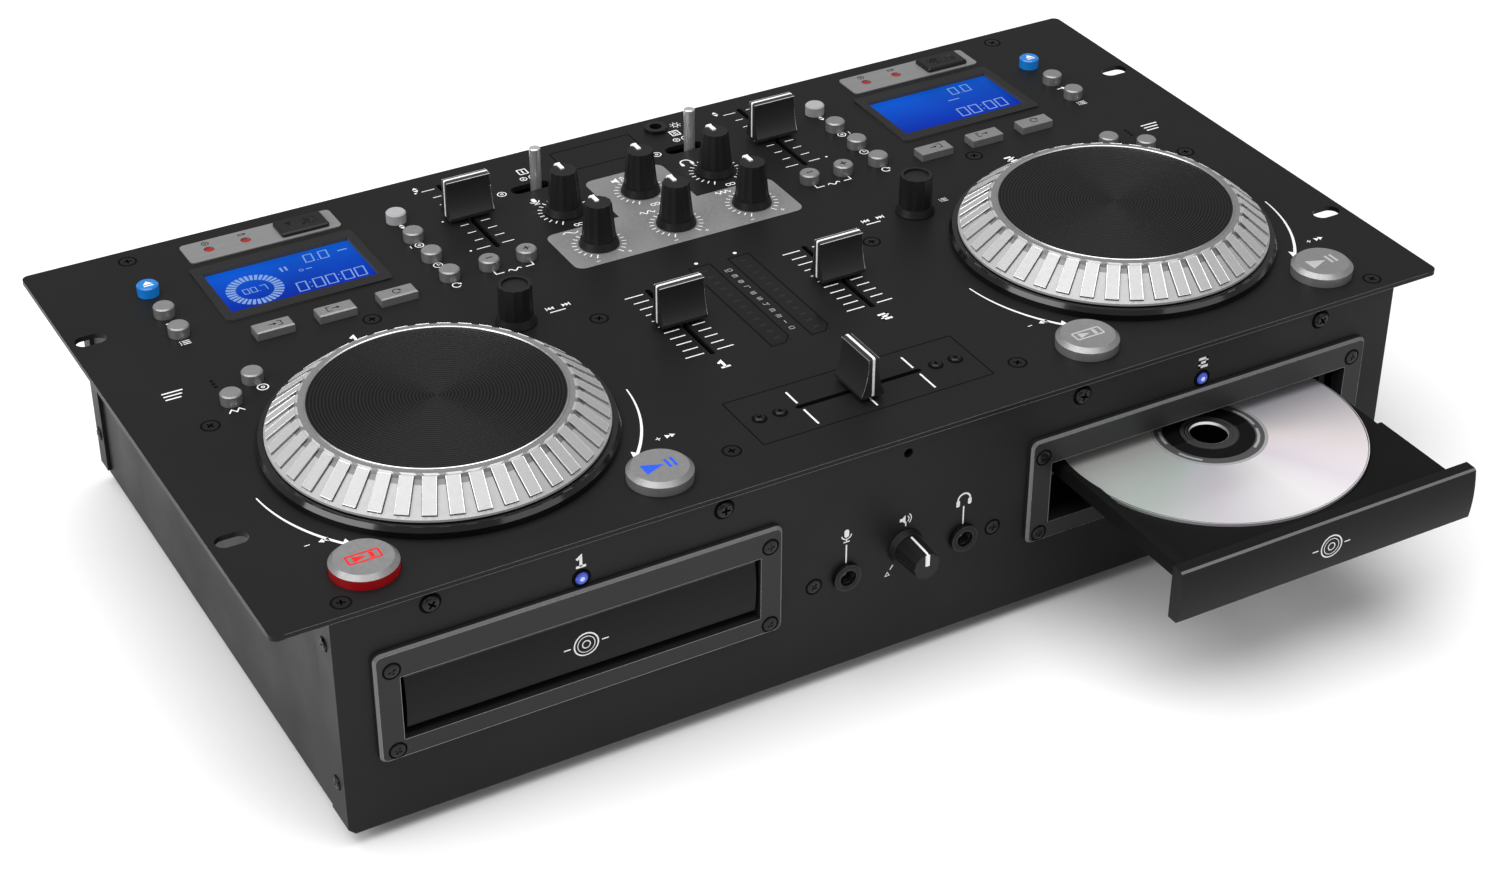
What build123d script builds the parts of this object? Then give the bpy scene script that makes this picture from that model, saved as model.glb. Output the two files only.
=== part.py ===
from build123d import *

import os
from math import cos, hypot, radians, sin

# Twin-tray disc player and mixer console for a 19-inch rack, in millimetres.
# X runs to the right, Y to the back, Z up. The origin is the middle of the four rack slots,
# on the upper face of the top panel. Deck "a" is on the left, deck "b" on the right.

# ---------------------------------------------------------------- overall sizes
panel_width = 482.6
panel_depth = 261.0
panel_thickness = 2.0
panel_corner_radius = 3.0
case_width = 442.0
case_height = 93.0
case_front_setback = 1.5
case_rear_setback = 2.0
sheet = 1.5
front_sheet = 2.0

# ---------------------------------------------------------------- clearances
running_fit = 0.08
button_gap = 0.2
slot_gap = 0.5
seat_gap = 0.1
cover_gap = 0.4

# ---------------------------------------------------------------- rack slots and screws
rack_slot_spacing_x = 465.1
rack_slot_spacing_y = 146.0
rack_slot_length = 12.0
rack_slot_height = 7.3
screw_head_radius = 3.0
screw_shank_radius = 1.5
screw_length = 7.0
edge_screws = [(201.2, 122.2), (214.2, -3.8), (214.2, -123.5)]
board_screws = [(135.2, 36.0), (60.2, -5.0), (60.2, -107.8)]

# ---------------------------------------------------------------- jog wheels
jog_x = 145.3
jog_y = -48.0
jog_ring_radius = 64.5
jog_ring_inner_radius = 56.5
jog_ring_height = 4.3
jog_skirt_radius = 61.2
jog_skirt_bottom = 4.7
jog_skirt_lip = 0.9
jog_shoulder_radius = 50.0
jog_shoulder_height = 14.6
jog_height = 16.2
jog_top_radius = 46.15
jog_top_thickness = 0.9
jog_wall = 2.4
jog_hub_radius = 9.0
jog_hub_depth = 13.2
jog_rib_count = 40
jog_rib_rise = 0.75
jog_rib_width = 4.8
jog_rib_margin = 1.6
jog_rib_overrun = 1.0

# ---------------------------------------------------------------- sliding controls
pitch_slot_x = 70.0
pitch_centre_y = 91.7
pitch_travel = 53.3
channel_slot_x = 34.7
channel_centre_y = -21.5
channel_travel = 48.5
crossfader_y = -94.6
crossfader_travel = 48.0
fader_slot_width = 2.2
fader_stem_length = 4.0
fader_cap_width = 19.0
fader_cap_base = 9.4
fader_cap_top = 4.2
fader_cap_rise = 17.6
fader_cap_foot = 1.6
fader_cap_skirt = 1.2
fader_cap_crest = 0.35
switch_slot_length = 17.0
switch_slot_width = 6.2
switch_centres = [(-37.9, 100.8), (33.1, 100.8)]
switch_lever_radius = 2.3
switch_lever_height = 17.5
switch_throw = 5.2

# ---------------------------------------------------------------- turning controls
knob_columns = [-34.4, 0.0, 34.6]
knob_rows = [45.8, 76.4]
knob_base_radius = 8.15
knob_waist_radius = 6.9
knob_top_radius = 5.4
knob_skirt_height = 3.2
knob_height = 18.5
knob_flutes = 12
knob_flute_depth = 0.35
shaft_radius = 3.0
shaft_depth = 6.4
track_knob_x = 88.5
track_knob_y = 8.0
track_knob_base_radius = 8.0
track_knob_top_radius = 6.5
track_knob_height = 16.5
blend_knob_z = -48.5
blend_knob_base_radius = 7.3
blend_knob_height = 15.0

# ---------------------------------------------------------------- push buttons
small_button_radius = 4.05
small_button_rise = 4.3
small_button_edge = 0.5
button_depth = 4.0
bend_button_x = 80.0
bend_button_step = 16.0
bend_button_y = 50.0
small_button_places = [
    (96.8, 101.5),
    (96.8, 84.5),
    (96.8, 67.0),
    (96.8, 50.0),
    (202.3, 77.0),
    (202.3, 61.0),
    (190.0, 17.5),
    (202.0, 7.4),
]
eject_button_place = (202.3, 95.0)
eject_button_radius = 4.2
loop_button_width = 15.0
loop_button_depth = 6.8
loop_button_rise = 3.5
loop_button_x = 146.0
loop_button_step = 25.0
loop_button_y = 45.2
play_button_radius = 12.0
play_button_face_radius = 10.3
play_button_edge_rise = 3.4
play_button_rise = 5.0
play_button_y = -110.0
play_button_outer_x = 200.2
play_button_inner_x = 89.8

# ---------------------------------------------------------------- displays and ports
display_y = 81.7
display_x = {"a": -149.6, "b": 150.6}
display_frame_width = 67.5
display_frame_depth = 43.3
display_frame_rise = 0.6
display_frame_radius = 1.5
display_margin = 3.2
display_screen_width = 60.8
display_screen_depth = 33.0
display_screen_recess = 3.0
display_screen_thickness = 2.5
meter_x = 8.6
meter_y = -21.6
meter_width = 8.6
meter_length = 64.0
port_plate_x = {"a": -148.8, "b": 152.5}
port_plate_y = 115.2
port_plate_width = 63.0
port_plate_depth = 15.2
port_plate_thickness = 0.5
port_led_offsets = [-21.5, -6.3]
port_led_radius = 2.0
usb_offset = 17.0
usb_collar_width = 20.0
usb_collar_depth = 11.6
usb_collar_rise = 1.8
usb_body_width = 15.0
usb_body_depth = 8.0
usb_body_length = 11.0
usb_mouth_width = 12.4
usb_mouth_depth = 4.9
lamp_socket_place = (30.3, 120.8)
lamp_socket_radius = 4.8

# ---------------------------------------------------------------- front panel
tray_x = 130.3
tray_half_width = 63.0
door_overhang = 4.0
door_side_gap = 1.65
bezel_border = 9.1
door_width = 2 * (tray_half_width + door_overhang)
window_width = door_width + 2 * door_side_gap
bezel_z = -42.7
bezel_width = window_width + 2 * bezel_border
bezel_height = 45.5
bezel_thickness = 2.5
bezel_radius = 3.0
bezel_bevel = 1.0
bezel_collar = 1.4
bezel_collar_depth = 4.0
window_height = 26.4
window_z = -44.4
front_led_z = -16.5
front_led_radius = 2.6
jack_x = 25.0
jack_z = -53.2
jack_ring_radius = 5.6
jack_barrel_radius = 4.6
jack_bore_radius = 3.25
jack_length = 24.0
spare_hole_radius = 1.9
spare_hole_z = -8.1

# ---------------------------------------------------------------- trays and loaders
tray_open_now = 79.2
door_top_z = -32.3
door_bottom_z = -54.5
door_thickness = 5.2
door_bulge = 1.1
door_bevel = 0.7
tray_inner_half_width = 61.0
tray_wide_length = 42.5
tray_length = 160.0
tray_top_z = -37.8
tray_thickness = 3.2
tray_rail_width = 3.8
tray_rail_rise = 3.0
disc_radius = 60.0
disc_hole_radius = 7.5
disc_thickness = 1.2
disc_setback = 67.5
well_margin = 0.6
well_depth = 1.2
seat_width = 2.5
seat_rise = 1.0
spindle_slot_width = 44.0
loader_wall = 3.0
loader_side_gap = 0.4
loader_guide_width = 4.8
loader_guide_thickness = 2.0
loader_floor_z = -60.0
loader_top_z = -31.0

# ---------------------------------------------------------------- feet, boards, rear
foot_radius = 10.0
foot_height = 6.0
foot_x = 190.0
foot_y = 100.0
control_board_z = -14.0
board_thickness = 1.6
phono_x = [-160.0, -118.0]
phono_z = -40.0
inlet_x = 150.0
inlet_z = -45.0
rocker_x = 188.0
rocker_half_height = 8.0
rocker_width = 10.6
rocker_tilt = 12.0

# ---------------------------------------------------------------- worked-out places
case_front = -panel_depth / 2 + case_front_setback
case_rear = panel_depth / 2 - case_rear_setback
case_bottom = -case_height
case_inner_x = case_width / 2 - 2 * sheet
panel_under = -panel_thickness
decks = (("a", -1), ("b", 1))
door_closed_front = case_front - bezel_thickness + door_bulge + 0.4
door_back_closed = door_closed_front + door_thickness
tray_front_closed = door_back_closed
disc_closed_y = tray_front_closed + disc_setback


def upright(x, y):
    """Plane through a vertical axis at (x, y): across is the radius, up is the height."""
    return Plane(origin=(x, y, 0), x_dir=(1, 0, 0), z_dir=(0, -1, 0))


def mirrored(places):
    """The same places on both sides of the console."""
    return [(side * x, y) for x, y in places for side in (-1, 1)]


def button_places():
    """Every round push button as (x, y, radius)."""
    holes = []
    for _, side in decks:
        holes += [(side * x, y, small_button_radius) for x, y in small_button_places]
        holes += [(side * eject_button_place[0], eject_button_place[1], eject_button_radius)]
        holes += [(x, bend_button_y, small_button_radius) for x in bend_columns(side)]
        holes += [(x, play_button_y, play_button_radius) for x in play_columns(side)]
    return holes


def bend_columns(side):
    """The minus button is the left one of each pair."""
    outer = bend_button_x
    inner = bend_button_x - bend_button_step
    return (-outer, -inner) if side < 0 else (inner, outer)


def play_columns(side):
    """The cue button is the left one of each pair, the play button the right one."""
    outer = play_button_outer_x
    inner = play_button_inner_x
    return (-outer, -inner) if side < 0 else (inner, outer)


def loop_columns(side):
    middle = side * loop_button_x
    return (middle - loop_button_step, middle, middle + loop_button_step)


def fader_slot_length(travel):
    return travel + fader_stem_length + 2 * slot_gap


os.makedirs("parts", exist_ok=True)

# ================================================================ top panel
with BuildPart() as top_panel:
    with BuildSketch(Plane.XY.offset(panel_under)):
        RectangleRounded(panel_width, panel_depth, panel_corner_radius)
    extrude(amount=panel_thickness)
    with BuildSketch(Plane.XY.offset(panel_under)):
        with GridLocations(rack_slot_spacing_x, rack_slot_spacing_y, 2, 2):
            SlotOverall(rack_slot_length, rack_slot_height)
        for x, y, radius in button_places():
            with Locations((x, y)):
                Circle(radius + button_gap)
        for tag, side in decks:
            with Locations((side * jog_x, jog_y)):
                Circle(jog_hub_radius + running_fit)
            with Locations((side * track_knob_x, track_knob_y)):
                Circle(shaft_radius + running_fit)
            with Locations(*[(x, loop_button_y) for x in loop_columns(side)]):
                Rectangle(loop_button_width + 2 * button_gap, loop_button_depth + 2 * button_gap)
            with Locations((side * pitch_slot_x, pitch_centre_y)):
                SlotOverall(fader_slot_length(pitch_travel), fader_slot_width, rotation=90)
            with Locations((side * channel_slot_x, channel_centre_y)):
                SlotOverall(fader_slot_length(channel_travel), fader_slot_width, rotation=90)
            with Locations((display_x[tag], display_y)):
                Rectangle(display_frame_width - 2 * display_margin,
                          display_frame_depth - 2 * display_margin)
            with Locations((side * meter_x, meter_y)):
                Rectangle(meter_width, meter_length)
            with Locations((port_plate_x[tag] + usb_offset, port_plate_y)):
                Rectangle(usb_body_width + 2 * seat_gap, usb_body_depth + 2 * seat_gap)
            for offset in port_led_offsets:
                with Locations((port_plate_x[tag] + offset, port_plate_y)):
                    Circle(port_led_radius + seat_gap)
        with Locations((0, crossfader_y)):
            SlotOverall(fader_slot_length(crossfader_travel), fader_slot_width)
        with Locations(*switch_centres):
            SlotOverall(switch_slot_length, switch_slot_width)
        with Locations(*[(x, y) for x in knob_columns for y in knob_rows]):
            Circle(shaft_radius + running_fit)
        with Locations(lamp_socket_place):
            Circle(lamp_socket_radius - 1 + seat_gap)
    extrude(amount=panel_thickness, mode=Mode.SUBTRACT)
    with Locations(*[(x, y, 0) for x, y in mirrored(edge_screws + board_screws)]):
        CounterSinkHole(screw_shank_radius + seat_gap, screw_head_radius + seat_gap,
                        counter_sink_angle=90)
top_panel.part.label = "top_panel"
export_step(top_panel.part, "parts/top_panel.step")

# ================================================================ folded case
side_outer_x = case_width / 2 - sheet
front_flange_depth = 14.0
rear_flange_depth = 8.5
side_gap_y = 0.3
tab_depth = 8.5
tab_inner_x = 209.8
rear_tab_inner_x = 190.0
rear_tab_depth = 13.0
side_tab_width = 11.0

# Floor and both sides in one sheet, with a turned-in edge on top that the panel screws reach.
side_front_y = case_front + front_sheet + side_gap_y
side_rear_y = case_rear - front_sheet - side_gap_y
side_length = side_rear_y - side_front_y
with BuildPart() as chassis_tray:
    with BuildSketch(Plane(origin=(0, side_front_y, 0), x_dir=(1, 0, 0), z_dir=(0, -1, 0))):
        with BuildLine():
            Polyline(
                (-side_outer_x, panel_under),
                (-side_outer_x, case_bottom),
                (side_outer_x, case_bottom),
                (side_outer_x, panel_under),
                (side_outer_x - sheet, panel_under),
                (side_outer_x - sheet, case_bottom + sheet),
                (-side_outer_x + sheet, case_bottom + sheet),
                (-side_outer_x + sheet, panel_under),
                close=True,
            )
        make_face()
    extrude(amount=-side_length)
    edge_front_y = play_button_y + play_button_radius + slot_gap + 1
    edge_rear_y = case_rear - rear_tab_depth - 1
    with BuildSketch(Plane.XY.offset(panel_under)):
        for side in (-1, 1):
            with Locations((side * (side_outer_x - sheet / 2 - side_tab_width / 2),
                            (edge_front_y + edge_rear_y) / 2)):
                Rectangle(side_tab_width, edge_rear_y - edge_front_y)
        with Locations(*mirrored([edge_screws[1]])):
            Circle(screw_shank_radius + seat_gap, mode=Mode.SUBTRACT)
    extrude(amount=-sheet)
chassis_tray.part.label = "chassis_tray"
export_step(chassis_tray.part, "parts/chassis_tray.step")

corner_cut = 2.5


def end_panel(face_y, inward, flange_depth, tab_inner, tab_reach, tab_screws):
    """Sheet end of the case with side flanges over the sides and two screw tabs on top."""
    with BuildPart() as panel:
        outline = Plane(origin=(0, face_y, 0), x_dir=(1, 0, 0), z_dir=(0, -inward, 0))
        mirror_x = inward
        half = case_width / 2
        with BuildSketch(outline):
            with BuildLine():
                Polyline(
                    (-half, mirror_x * panel_under),
                    (-half, mirror_x * (case_bottom + corner_cut)),
                    (-half + corner_cut, mirror_x * case_bottom),
                    (half - corner_cut, mirror_x * case_bottom),
                    (half, mirror_x * (case_bottom + corner_cut)),
                    (half, mirror_x * panel_under),
                    close=True,
                )
            make_face()
        extrude(amount=-front_sheet)
        with BuildSketch(Plane.XY.offset(case_bottom + corner_cut)):
            for side in (-1, 1):
                with Locations((side * (half - sheet / 2), face_y + inward * flange_depth / 2)):
                    Rectangle(sheet, flange_depth)
        extrude(amount=case_height - corner_cut - panel_thickness)
        with BuildSketch(Plane.XY.offset(panel_under)):
            for side in (-1, 1):
                tab_width = case_inner_x - tab_inner
                with Locations((side * (tab_inner + tab_width / 2), face_y + inward * tab_reach / 2)):
                    Rectangle(tab_width, tab_reach)
            with Locations(*mirrored([tab_screws])):
                Circle(screw_shank_radius + seat_gap, mode=Mode.SUBTRACT)
        extrude(amount=-sheet)
    return panel.part


front_plane = Plane(origin=(0, case_front, 0), x_dir=(1, 0, 0), z_dir=(0, -1, 0))
rear_plane = Plane(origin=(0, case_rear, 0), x_dir=(-1, 0, 0), z_dir=(0, 1, 0))
collar_width = window_width + 2 * bezel_collar
collar_height = window_height + 2 * bezel_collar

with BuildPart() as front_panel:
    add(end_panel(case_front, 1, front_flange_depth, tab_inner_x, tab_depth, edge_screws[2]))
    with BuildSketch(front_plane):
        for side in (-1, 1):
            with Locations((side * tray_x, window_z)):
                Rectangle(collar_width + 2 * seat_gap, collar_height + 2 * seat_gap)
            with Locations((side * tray_x, front_led_z)):
                Circle(front_led_radius + seat_gap)
            with Locations((side * jack_x, jack_z)):
                Circle(jack_barrel_radius + seat_gap)
        with Locations((0, blend_knob_z)):
            Circle(shaft_radius + running_fit)
        with Locations((0, spare_hole_z)):
            Circle(spare_hole_radius)
    extrude(amount=-front_sheet, mode=Mode.SUBTRACT)
front_panel.part.label = "front_panel"
export_step(front_panel.part, "parts/front_panel.step")

phono_width = 32.0
phono_height = 32.0
phono_pitch = 15.0
phono_sleeve_radius = 4.15
phono_sleeve_length = 9.0
phono_bore_radius = 1.7
inlet_width = 27.0
inlet_height = 19.6
inlet_flange = 2.5
inlet_depth = 18.0
inlet_mouth_width = 24.4
inlet_mouth_height = 17.0
switch_body_width = 13.0
switch_body_height = 20.0

with BuildPart() as rear_panel:
    add(end_panel(case_rear, -1, rear_flange_depth, rear_tab_inner_x, rear_tab_depth,
                  edge_screws[0]))
    with BuildSketch(rear_plane):
        with Locations(*[(-x, phono_z) for x in phono_x]):
            Rectangle(phono_width + 2 * seat_gap, phono_height + 2 * seat_gap)
        with Locations((-inlet_x, inlet_z)):
            Rectangle(inlet_width + 2 * seat_gap, inlet_height + 2 * seat_gap)
        with Locations((-rocker_x, inlet_z)):
            Rectangle(switch_body_width + 2 * seat_gap, switch_body_height + 2 * seat_gap)
    extrude(amount=-front_sheet, mode=Mode.SUBTRACT)
rear_panel.part.label = "rear_panel"
export_step(rear_panel.part, "parts/rear_panel.step")

foot_draft = 1.5
with BuildPart() as rubber_feet:
    with Locations(*[(x, y, case_bottom - foot_height / 2)
                     for x in (-foot_x, foot_x) for y in (-foot_y, foot_y)]):
        Cone(foot_radius - foot_draft, foot_radius, foot_height)
rubber_feet.part.label = "rubber_feet"
export_step(rubber_feet.part, "parts/rubber_feet.step")

# ================================================================ tray bezels
with BuildPart() as tray_bezels:
    with BuildSketch(front_plane.offset(bezel_thickness)):
        with Locations(*[(side * tray_x, bezel_z) for side in (-1, 1)]):
            RectangleRounded(bezel_width, bezel_height, bezel_radius)
    extrude(amount=-bezel_thickness)
    chamfer(tray_bezels.edges().group_by(Axis.Y)[0], bezel_bevel)
    with BuildSketch(front_plane):
        with Locations(*[(side * tray_x, window_z) for side in (-1, 1)]):
            Rectangle(collar_width, collar_height)
    extrude(amount=-bezel_collar_depth)
    with BuildSketch(front_plane.offset(bezel_thickness)):
        with Locations(*[(side * tray_x, window_z) for side in (-1, 1)]):
            Rectangle(window_width, window_height)
    extrude(amount=-(bezel_thickness + bezel_collar_depth), mode=Mode.SUBTRACT)
tray_bezels.part.label = "tray_bezels"
export_step(tray_bezels.part, "parts/tray_bezels.step")

# ================================================================ jog wheels
with BuildPart() as jog_rings:
    for _, side in decks:
        with BuildSketch(upright(side * jog_x, jog_y)):
            Polygon(
                (jog_ring_inner_radius, 0),
                (jog_ring_radius, 0),
                (jog_ring_radius, jog_ring_height - 1.7),
                (jog_ring_radius - 1.1, jog_ring_height),
                (jog_skirt_radius + 0.9, jog_ring_height),
                (jog_ring_inner_radius, jog_ring_height - cover_gap),
                align=None,
            )
        revolve(axis=Axis((side * jog_x, jog_y, 0), (0, 0, 1)))
jog_rings.part.label = "jog_rings"
export_step(jog_rings.part, "parts/jog_rings.step")

skirt_foot = (jog_skirt_radius, jog_skirt_bottom + jog_skirt_lip)
skirt_head = (jog_shoulder_radius, jog_shoulder_height)
skirt_run = hypot(skirt_head[0] - skirt_foot[0], skirt_head[1] - skirt_foot[1])
skirt_out = (skirt_head[0] - skirt_foot[0]) / skirt_run
skirt_up = (skirt_head[1] - skirt_foot[1]) / skirt_run
rib_start = (
    skirt_foot[0] + jog_rib_margin * skirt_out,
    skirt_foot[1] + jog_rib_margin * skirt_up,
)
rib_length = skirt_run - jog_rib_margin + jog_rib_overrun
rib_root = 1.0

# One grip rib: a flat pad that runs up the skirt and over its shoulder.
with BuildPart() as jog_rib:
    rib_plane = Plane(
        origin=(rib_start[0], 0, rib_start[1]),
        x_dir=(0, 1, 0),
        z_dir=(skirt_out, 0, skirt_up),
    )
    with BuildSketch(rib_plane):
        with Locations((0, (rib_root - jog_rib_rise) / 2)):
            Rectangle(jog_rib_width, rib_root + jog_rib_rise)
    extrude(amount=rib_length)

pocket_floor = jog_height - jog_top_thickness + 0.1


def jog_wheel(side):
    """Hollow wheel on a hub, with a ribbed skirt and a pocket for its top disc."""
    with BuildPart() as wheel:
        with BuildSketch(upright(side * jog_x, jog_y)):
            Polygon(
                (0, -jog_hub_depth),
                (jog_hub_radius, -jog_hub_depth),
                (jog_hub_radius, pocket_floor - jog_wall),
                (jog_shoulder_radius - jog_wall, pocket_floor - jog_wall),
                (jog_skirt_radius - jog_wall - 1, jog_skirt_bottom),
                (jog_skirt_radius, jog_skirt_bottom),
                skirt_foot,
                skirt_head,
                (jog_shoulder_radius - 0.6, jog_height - 0.3),
                (jog_shoulder_radius - 1.4, jog_height),
                (jog_top_radius + seat_gap, jog_height),
                (jog_top_radius + seat_gap, pocket_floor),
                (0, pocket_floor),
                align=None,
            )
        revolve(axis=Axis((side * jog_x, jog_y, 0), (0, 0, 1)))
        with Locations((side * jog_x, jog_y, 0)):
            with PolarLocations(0, jog_rib_count):
                add(jog_rib.part)
    return wheel.part


for tag, side in decks:
    with BuildPart() as wheel:
        add(jog_wheel(side))
    wheel.part.label = f"jog_wheel_{tag}"
    export_step(wheel.part, f"parts/jog_wheel_{tag}.step")

    with BuildPart() as jog_top:
        with BuildSketch(Plane.XY.offset(pocket_floor)):
            with Locations((side * jog_x, jog_y)):
                Circle(jog_top_radius)
        extrude(amount=jog_top_thickness)
    jog_top.part.label = f"jog_top_{tag}"
    export_step(jog_top.part, f"parts/jog_top_{tag}.step")


# ================================================================ faders and switches
def fader_cap(name, x, y, along_x=False):
    """Saddle-shaped cap on a flat stem that passes through the panel slot."""
    travel_dir = (1, 0, 0) if along_x else (0, 1, 0)
    across_dir = (0, -1, 0) if along_x else (1, 0, 0)
    half_base = fader_cap_base / 2
    half_top = fader_cap_top / 2
    shoulder = fader_cap_foot + fader_cap_skirt
    waist = ((half_base + half_top) / 2 - 0.9, (shoulder + fader_cap_rise) / 2)
    section = Plane(origin=(x, y, 0), x_dir=travel_dir, z_dir=across_dir)
    with BuildPart() as cap:
        with BuildSketch(section):
            with BuildLine():
                Line((-half_base, fader_cap_foot), (half_base, fader_cap_foot))
                Line((half_base, fader_cap_foot), (half_base, shoulder))
                ThreePointArc((half_base, shoulder), waist, (half_top, fader_cap_rise))
                ThreePointArc(
                    (half_top, fader_cap_rise),
                    (0, fader_cap_rise + fader_cap_crest),
                    (-half_top, fader_cap_rise),
                )
                ThreePointArc(
                    (-half_top, fader_cap_rise), (-waist[0], waist[1]), (-half_base, shoulder)
                )
                Line((-half_base, shoulder), (-half_base, fader_cap_foot))
            make_face()
        extrude(amount=fader_cap_width / 2, both=True)
        top_corners = cap.edges().filter_by(
            lambda edge: edge.center().Z > fader_cap_rise - 1
            and abs((edge.center() - Vector(x, y, 0)).dot(Vector(*across_dir)))
            > fader_cap_width / 2 - 0.01
        )
        chamfer(top_corners, 0.6)
        with BuildSketch(section):
            with Locations((0, (fader_cap_foot + 1 + panel_under - 4) / 2)):
                Rectangle(fader_stem_length, fader_cap_foot + 1 - (panel_under - 4))
        extrude(amount=fader_slot_width / 2 - slot_gap, both=True)
    cap.part.label = name
    export_step(cap.part, f"parts/{name}.step")


for tag, side in decks:
    fader_cap(f"pitch_fader_{tag}", side * pitch_slot_x, pitch_centre_y)
    fader_cap(f"channel_fader_{tag}", side * channel_slot_x, channel_centre_y)
fader_cap("crossfader", 0, crossfader_y, along_x=True)

lever_foot = panel_under - 4.5
for (tag, _), (x, y) in zip(decks, switch_centres):
    with BuildPart() as switch:
        with BuildSketch(Plane.XY.offset(lever_foot)):
            with Locations((x + switch_throw / 2, y)):
                Circle(switch_lever_radius)
        extrude(amount=switch_lever_height - lever_foot)
        fillet(switch.edges().group_by(Axis.Z)[-1], 0.6)
    switch.part.label = f"source_switch_{tag}"
    export_step(switch.part, f"parts/source_switch_{tag}.step")


# ================================================================ knobs
def knob(name, face, base_radius, top_radius, height, pointer=True, dish=0.0):
    """Tapered fluted knob on a shaft; the face plane lies on the panel."""
    waist_radius = knob_waist_radius + base_radius - knob_base_radius
    with BuildPart() as turned:
        with BuildSketch(face.offset(cover_gap)):
            Circle(base_radius)
        with BuildSketch(face.offset(knob_skirt_height)):
            Circle(waist_radius + 0.3)
        loft()
        with BuildSketch(face.offset(knob_skirt_height)):
            Polygon(*flute_points(waist_radius), align=None)
        with BuildSketch(face.offset(height)):
            Polygon(*flute_points(top_radius), align=None)
        loft(ruled=True)
        if dish > 0:
            with BuildSketch(face.offset(height)):
                Circle(top_radius - knob_flute_depth - 1.0)
            extrude(amount=-dish, mode=Mode.SUBTRACT)
        if pointer:
            with BuildSketch(face.offset(height - 0.6)):
                with Locations((0, top_radius * 0.55)):
                    Rectangle(1.5, top_radius * 0.9)
            extrude(amount=1.2)
        with BuildSketch(face.offset(-shaft_depth)):
            Circle(shaft_radius)
        extrude(amount=shaft_depth + cover_gap + 0.5)
    turned.part.label = name
    export_step(turned.part, f"parts/{name}.step")


def flute_points(radius):
    """Outline of the grip: ridges and hollows in turn."""
    points = []
    for step in range(2 * knob_flutes):
        reach = radius if step % 2 == 0 else radius - knob_flute_depth
        angle = radians(90 + step * 180 / knob_flutes)
        points.append((reach * cos(angle), reach * sin(angle)))
    return points


knob_names = [
    ["low_tone_knob", "mid_tone_knob", "high_tone_knob"],
    ["mic_level_knob", "master_level_knob", "cue_level_knob"],
]
for y, names in zip(knob_rows, knob_names):
    for x, name in zip(knob_columns, names):
        knob(name, Plane(origin=(x, y, 0)), knob_base_radius, knob_top_radius, knob_height)
for tag, side in decks:
    knob(
        f"track_knob_{tag}",
        Plane(origin=(side * track_knob_x, track_knob_y, 0)),
        track_knob_base_radius,
        track_knob_top_radius,
        track_knob_height,
        pointer=False,
        dish=1.0,
    )
knob(
    "blend_knob",
    Plane(origin=(0, case_front, blend_knob_z), x_dir=(1, 0, 0), z_dir=(0, -1, 0)),
    blend_knob_base_radius,
    knob_top_radius,
    blend_knob_height,
)


# ================================================================ push buttons
def round_buttons(name, places, radius, rise, edge):
    """Cylindrical caps with a bevelled upper edge, standing in their panel holes."""
    with BuildPart() as caps:
        with BuildSketch(Plane.XY.offset(panel_under - button_depth + 2)):
            with Locations(*places):
                Circle(radius)
        extrude(amount=rise - (panel_under - button_depth + 2))
        chamfer(caps.edges().group_by(Axis.Z)[-1], edge)
    caps.part.label = name
    export_step(caps.part, f"parts/{name}.step")


def play_button(name, x):
    """Wide button: straight side, broad bevel, flat face."""
    foot = panel_under - button_depth + 2
    with BuildPart() as cap:
        with BuildSketch(upright(x, play_button_y)):
            Polygon(
                (0, foot),
                (play_button_radius, foot),
                (play_button_radius, play_button_edge_rise),
                (play_button_face_radius, play_button_rise),
                (0, play_button_rise),
                align=None,
            )
        revolve(axis=Axis((x, play_button_y, 0), (0, 0, 1)))
    cap.part.label = name
    export_step(cap.part, f"parts/{name}.step")


def loop_button(name, x):
    """Oblong cap with a bevelled upper edge."""
    foot = panel_under - button_depth + 2
    with BuildPart() as cap:
        with BuildSketch(Plane.XY.offset(foot)):
            with Locations((x, loop_button_y)):
                Rectangle(loop_button_width, loop_button_depth)
        extrude(amount=loop_button_rise - foot)
        chamfer(cap.edges().group_by(Axis.Z)[-1], small_button_edge)
    cap.part.label = name
    export_step(cap.part, f"parts/{name}.step")


for tag, side in decks:
    round_buttons(
        f"small_buttons_{tag}",
        [(side * x, y) for x, y in small_button_places],
        small_button_radius,
        small_button_rise,
        small_button_edge,
    )
    round_buttons(
        f"eject_button_{tag}",
        [(side * eject_button_place[0], eject_button_place[1])],
        eject_button_radius,
        small_button_rise,
        small_button_edge,
    )
    for name, x in zip(("bend_down", "bend_up"), bend_columns(side)):
        round_buttons(
            f"{name}_button_{tag}",
            [(x, bend_button_y)],
            small_button_radius,
            small_button_rise,
            small_button_edge,
        )
    for name, x in zip(("cue", "play"), play_columns(side)):
        play_button(f"{name}_button_{tag}", x)
    for name, x in zip(("loop_in", "loop_out", "reloop"), loop_columns(side)):
        loop_button(f"{name}_button_{tag}", x)

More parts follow.
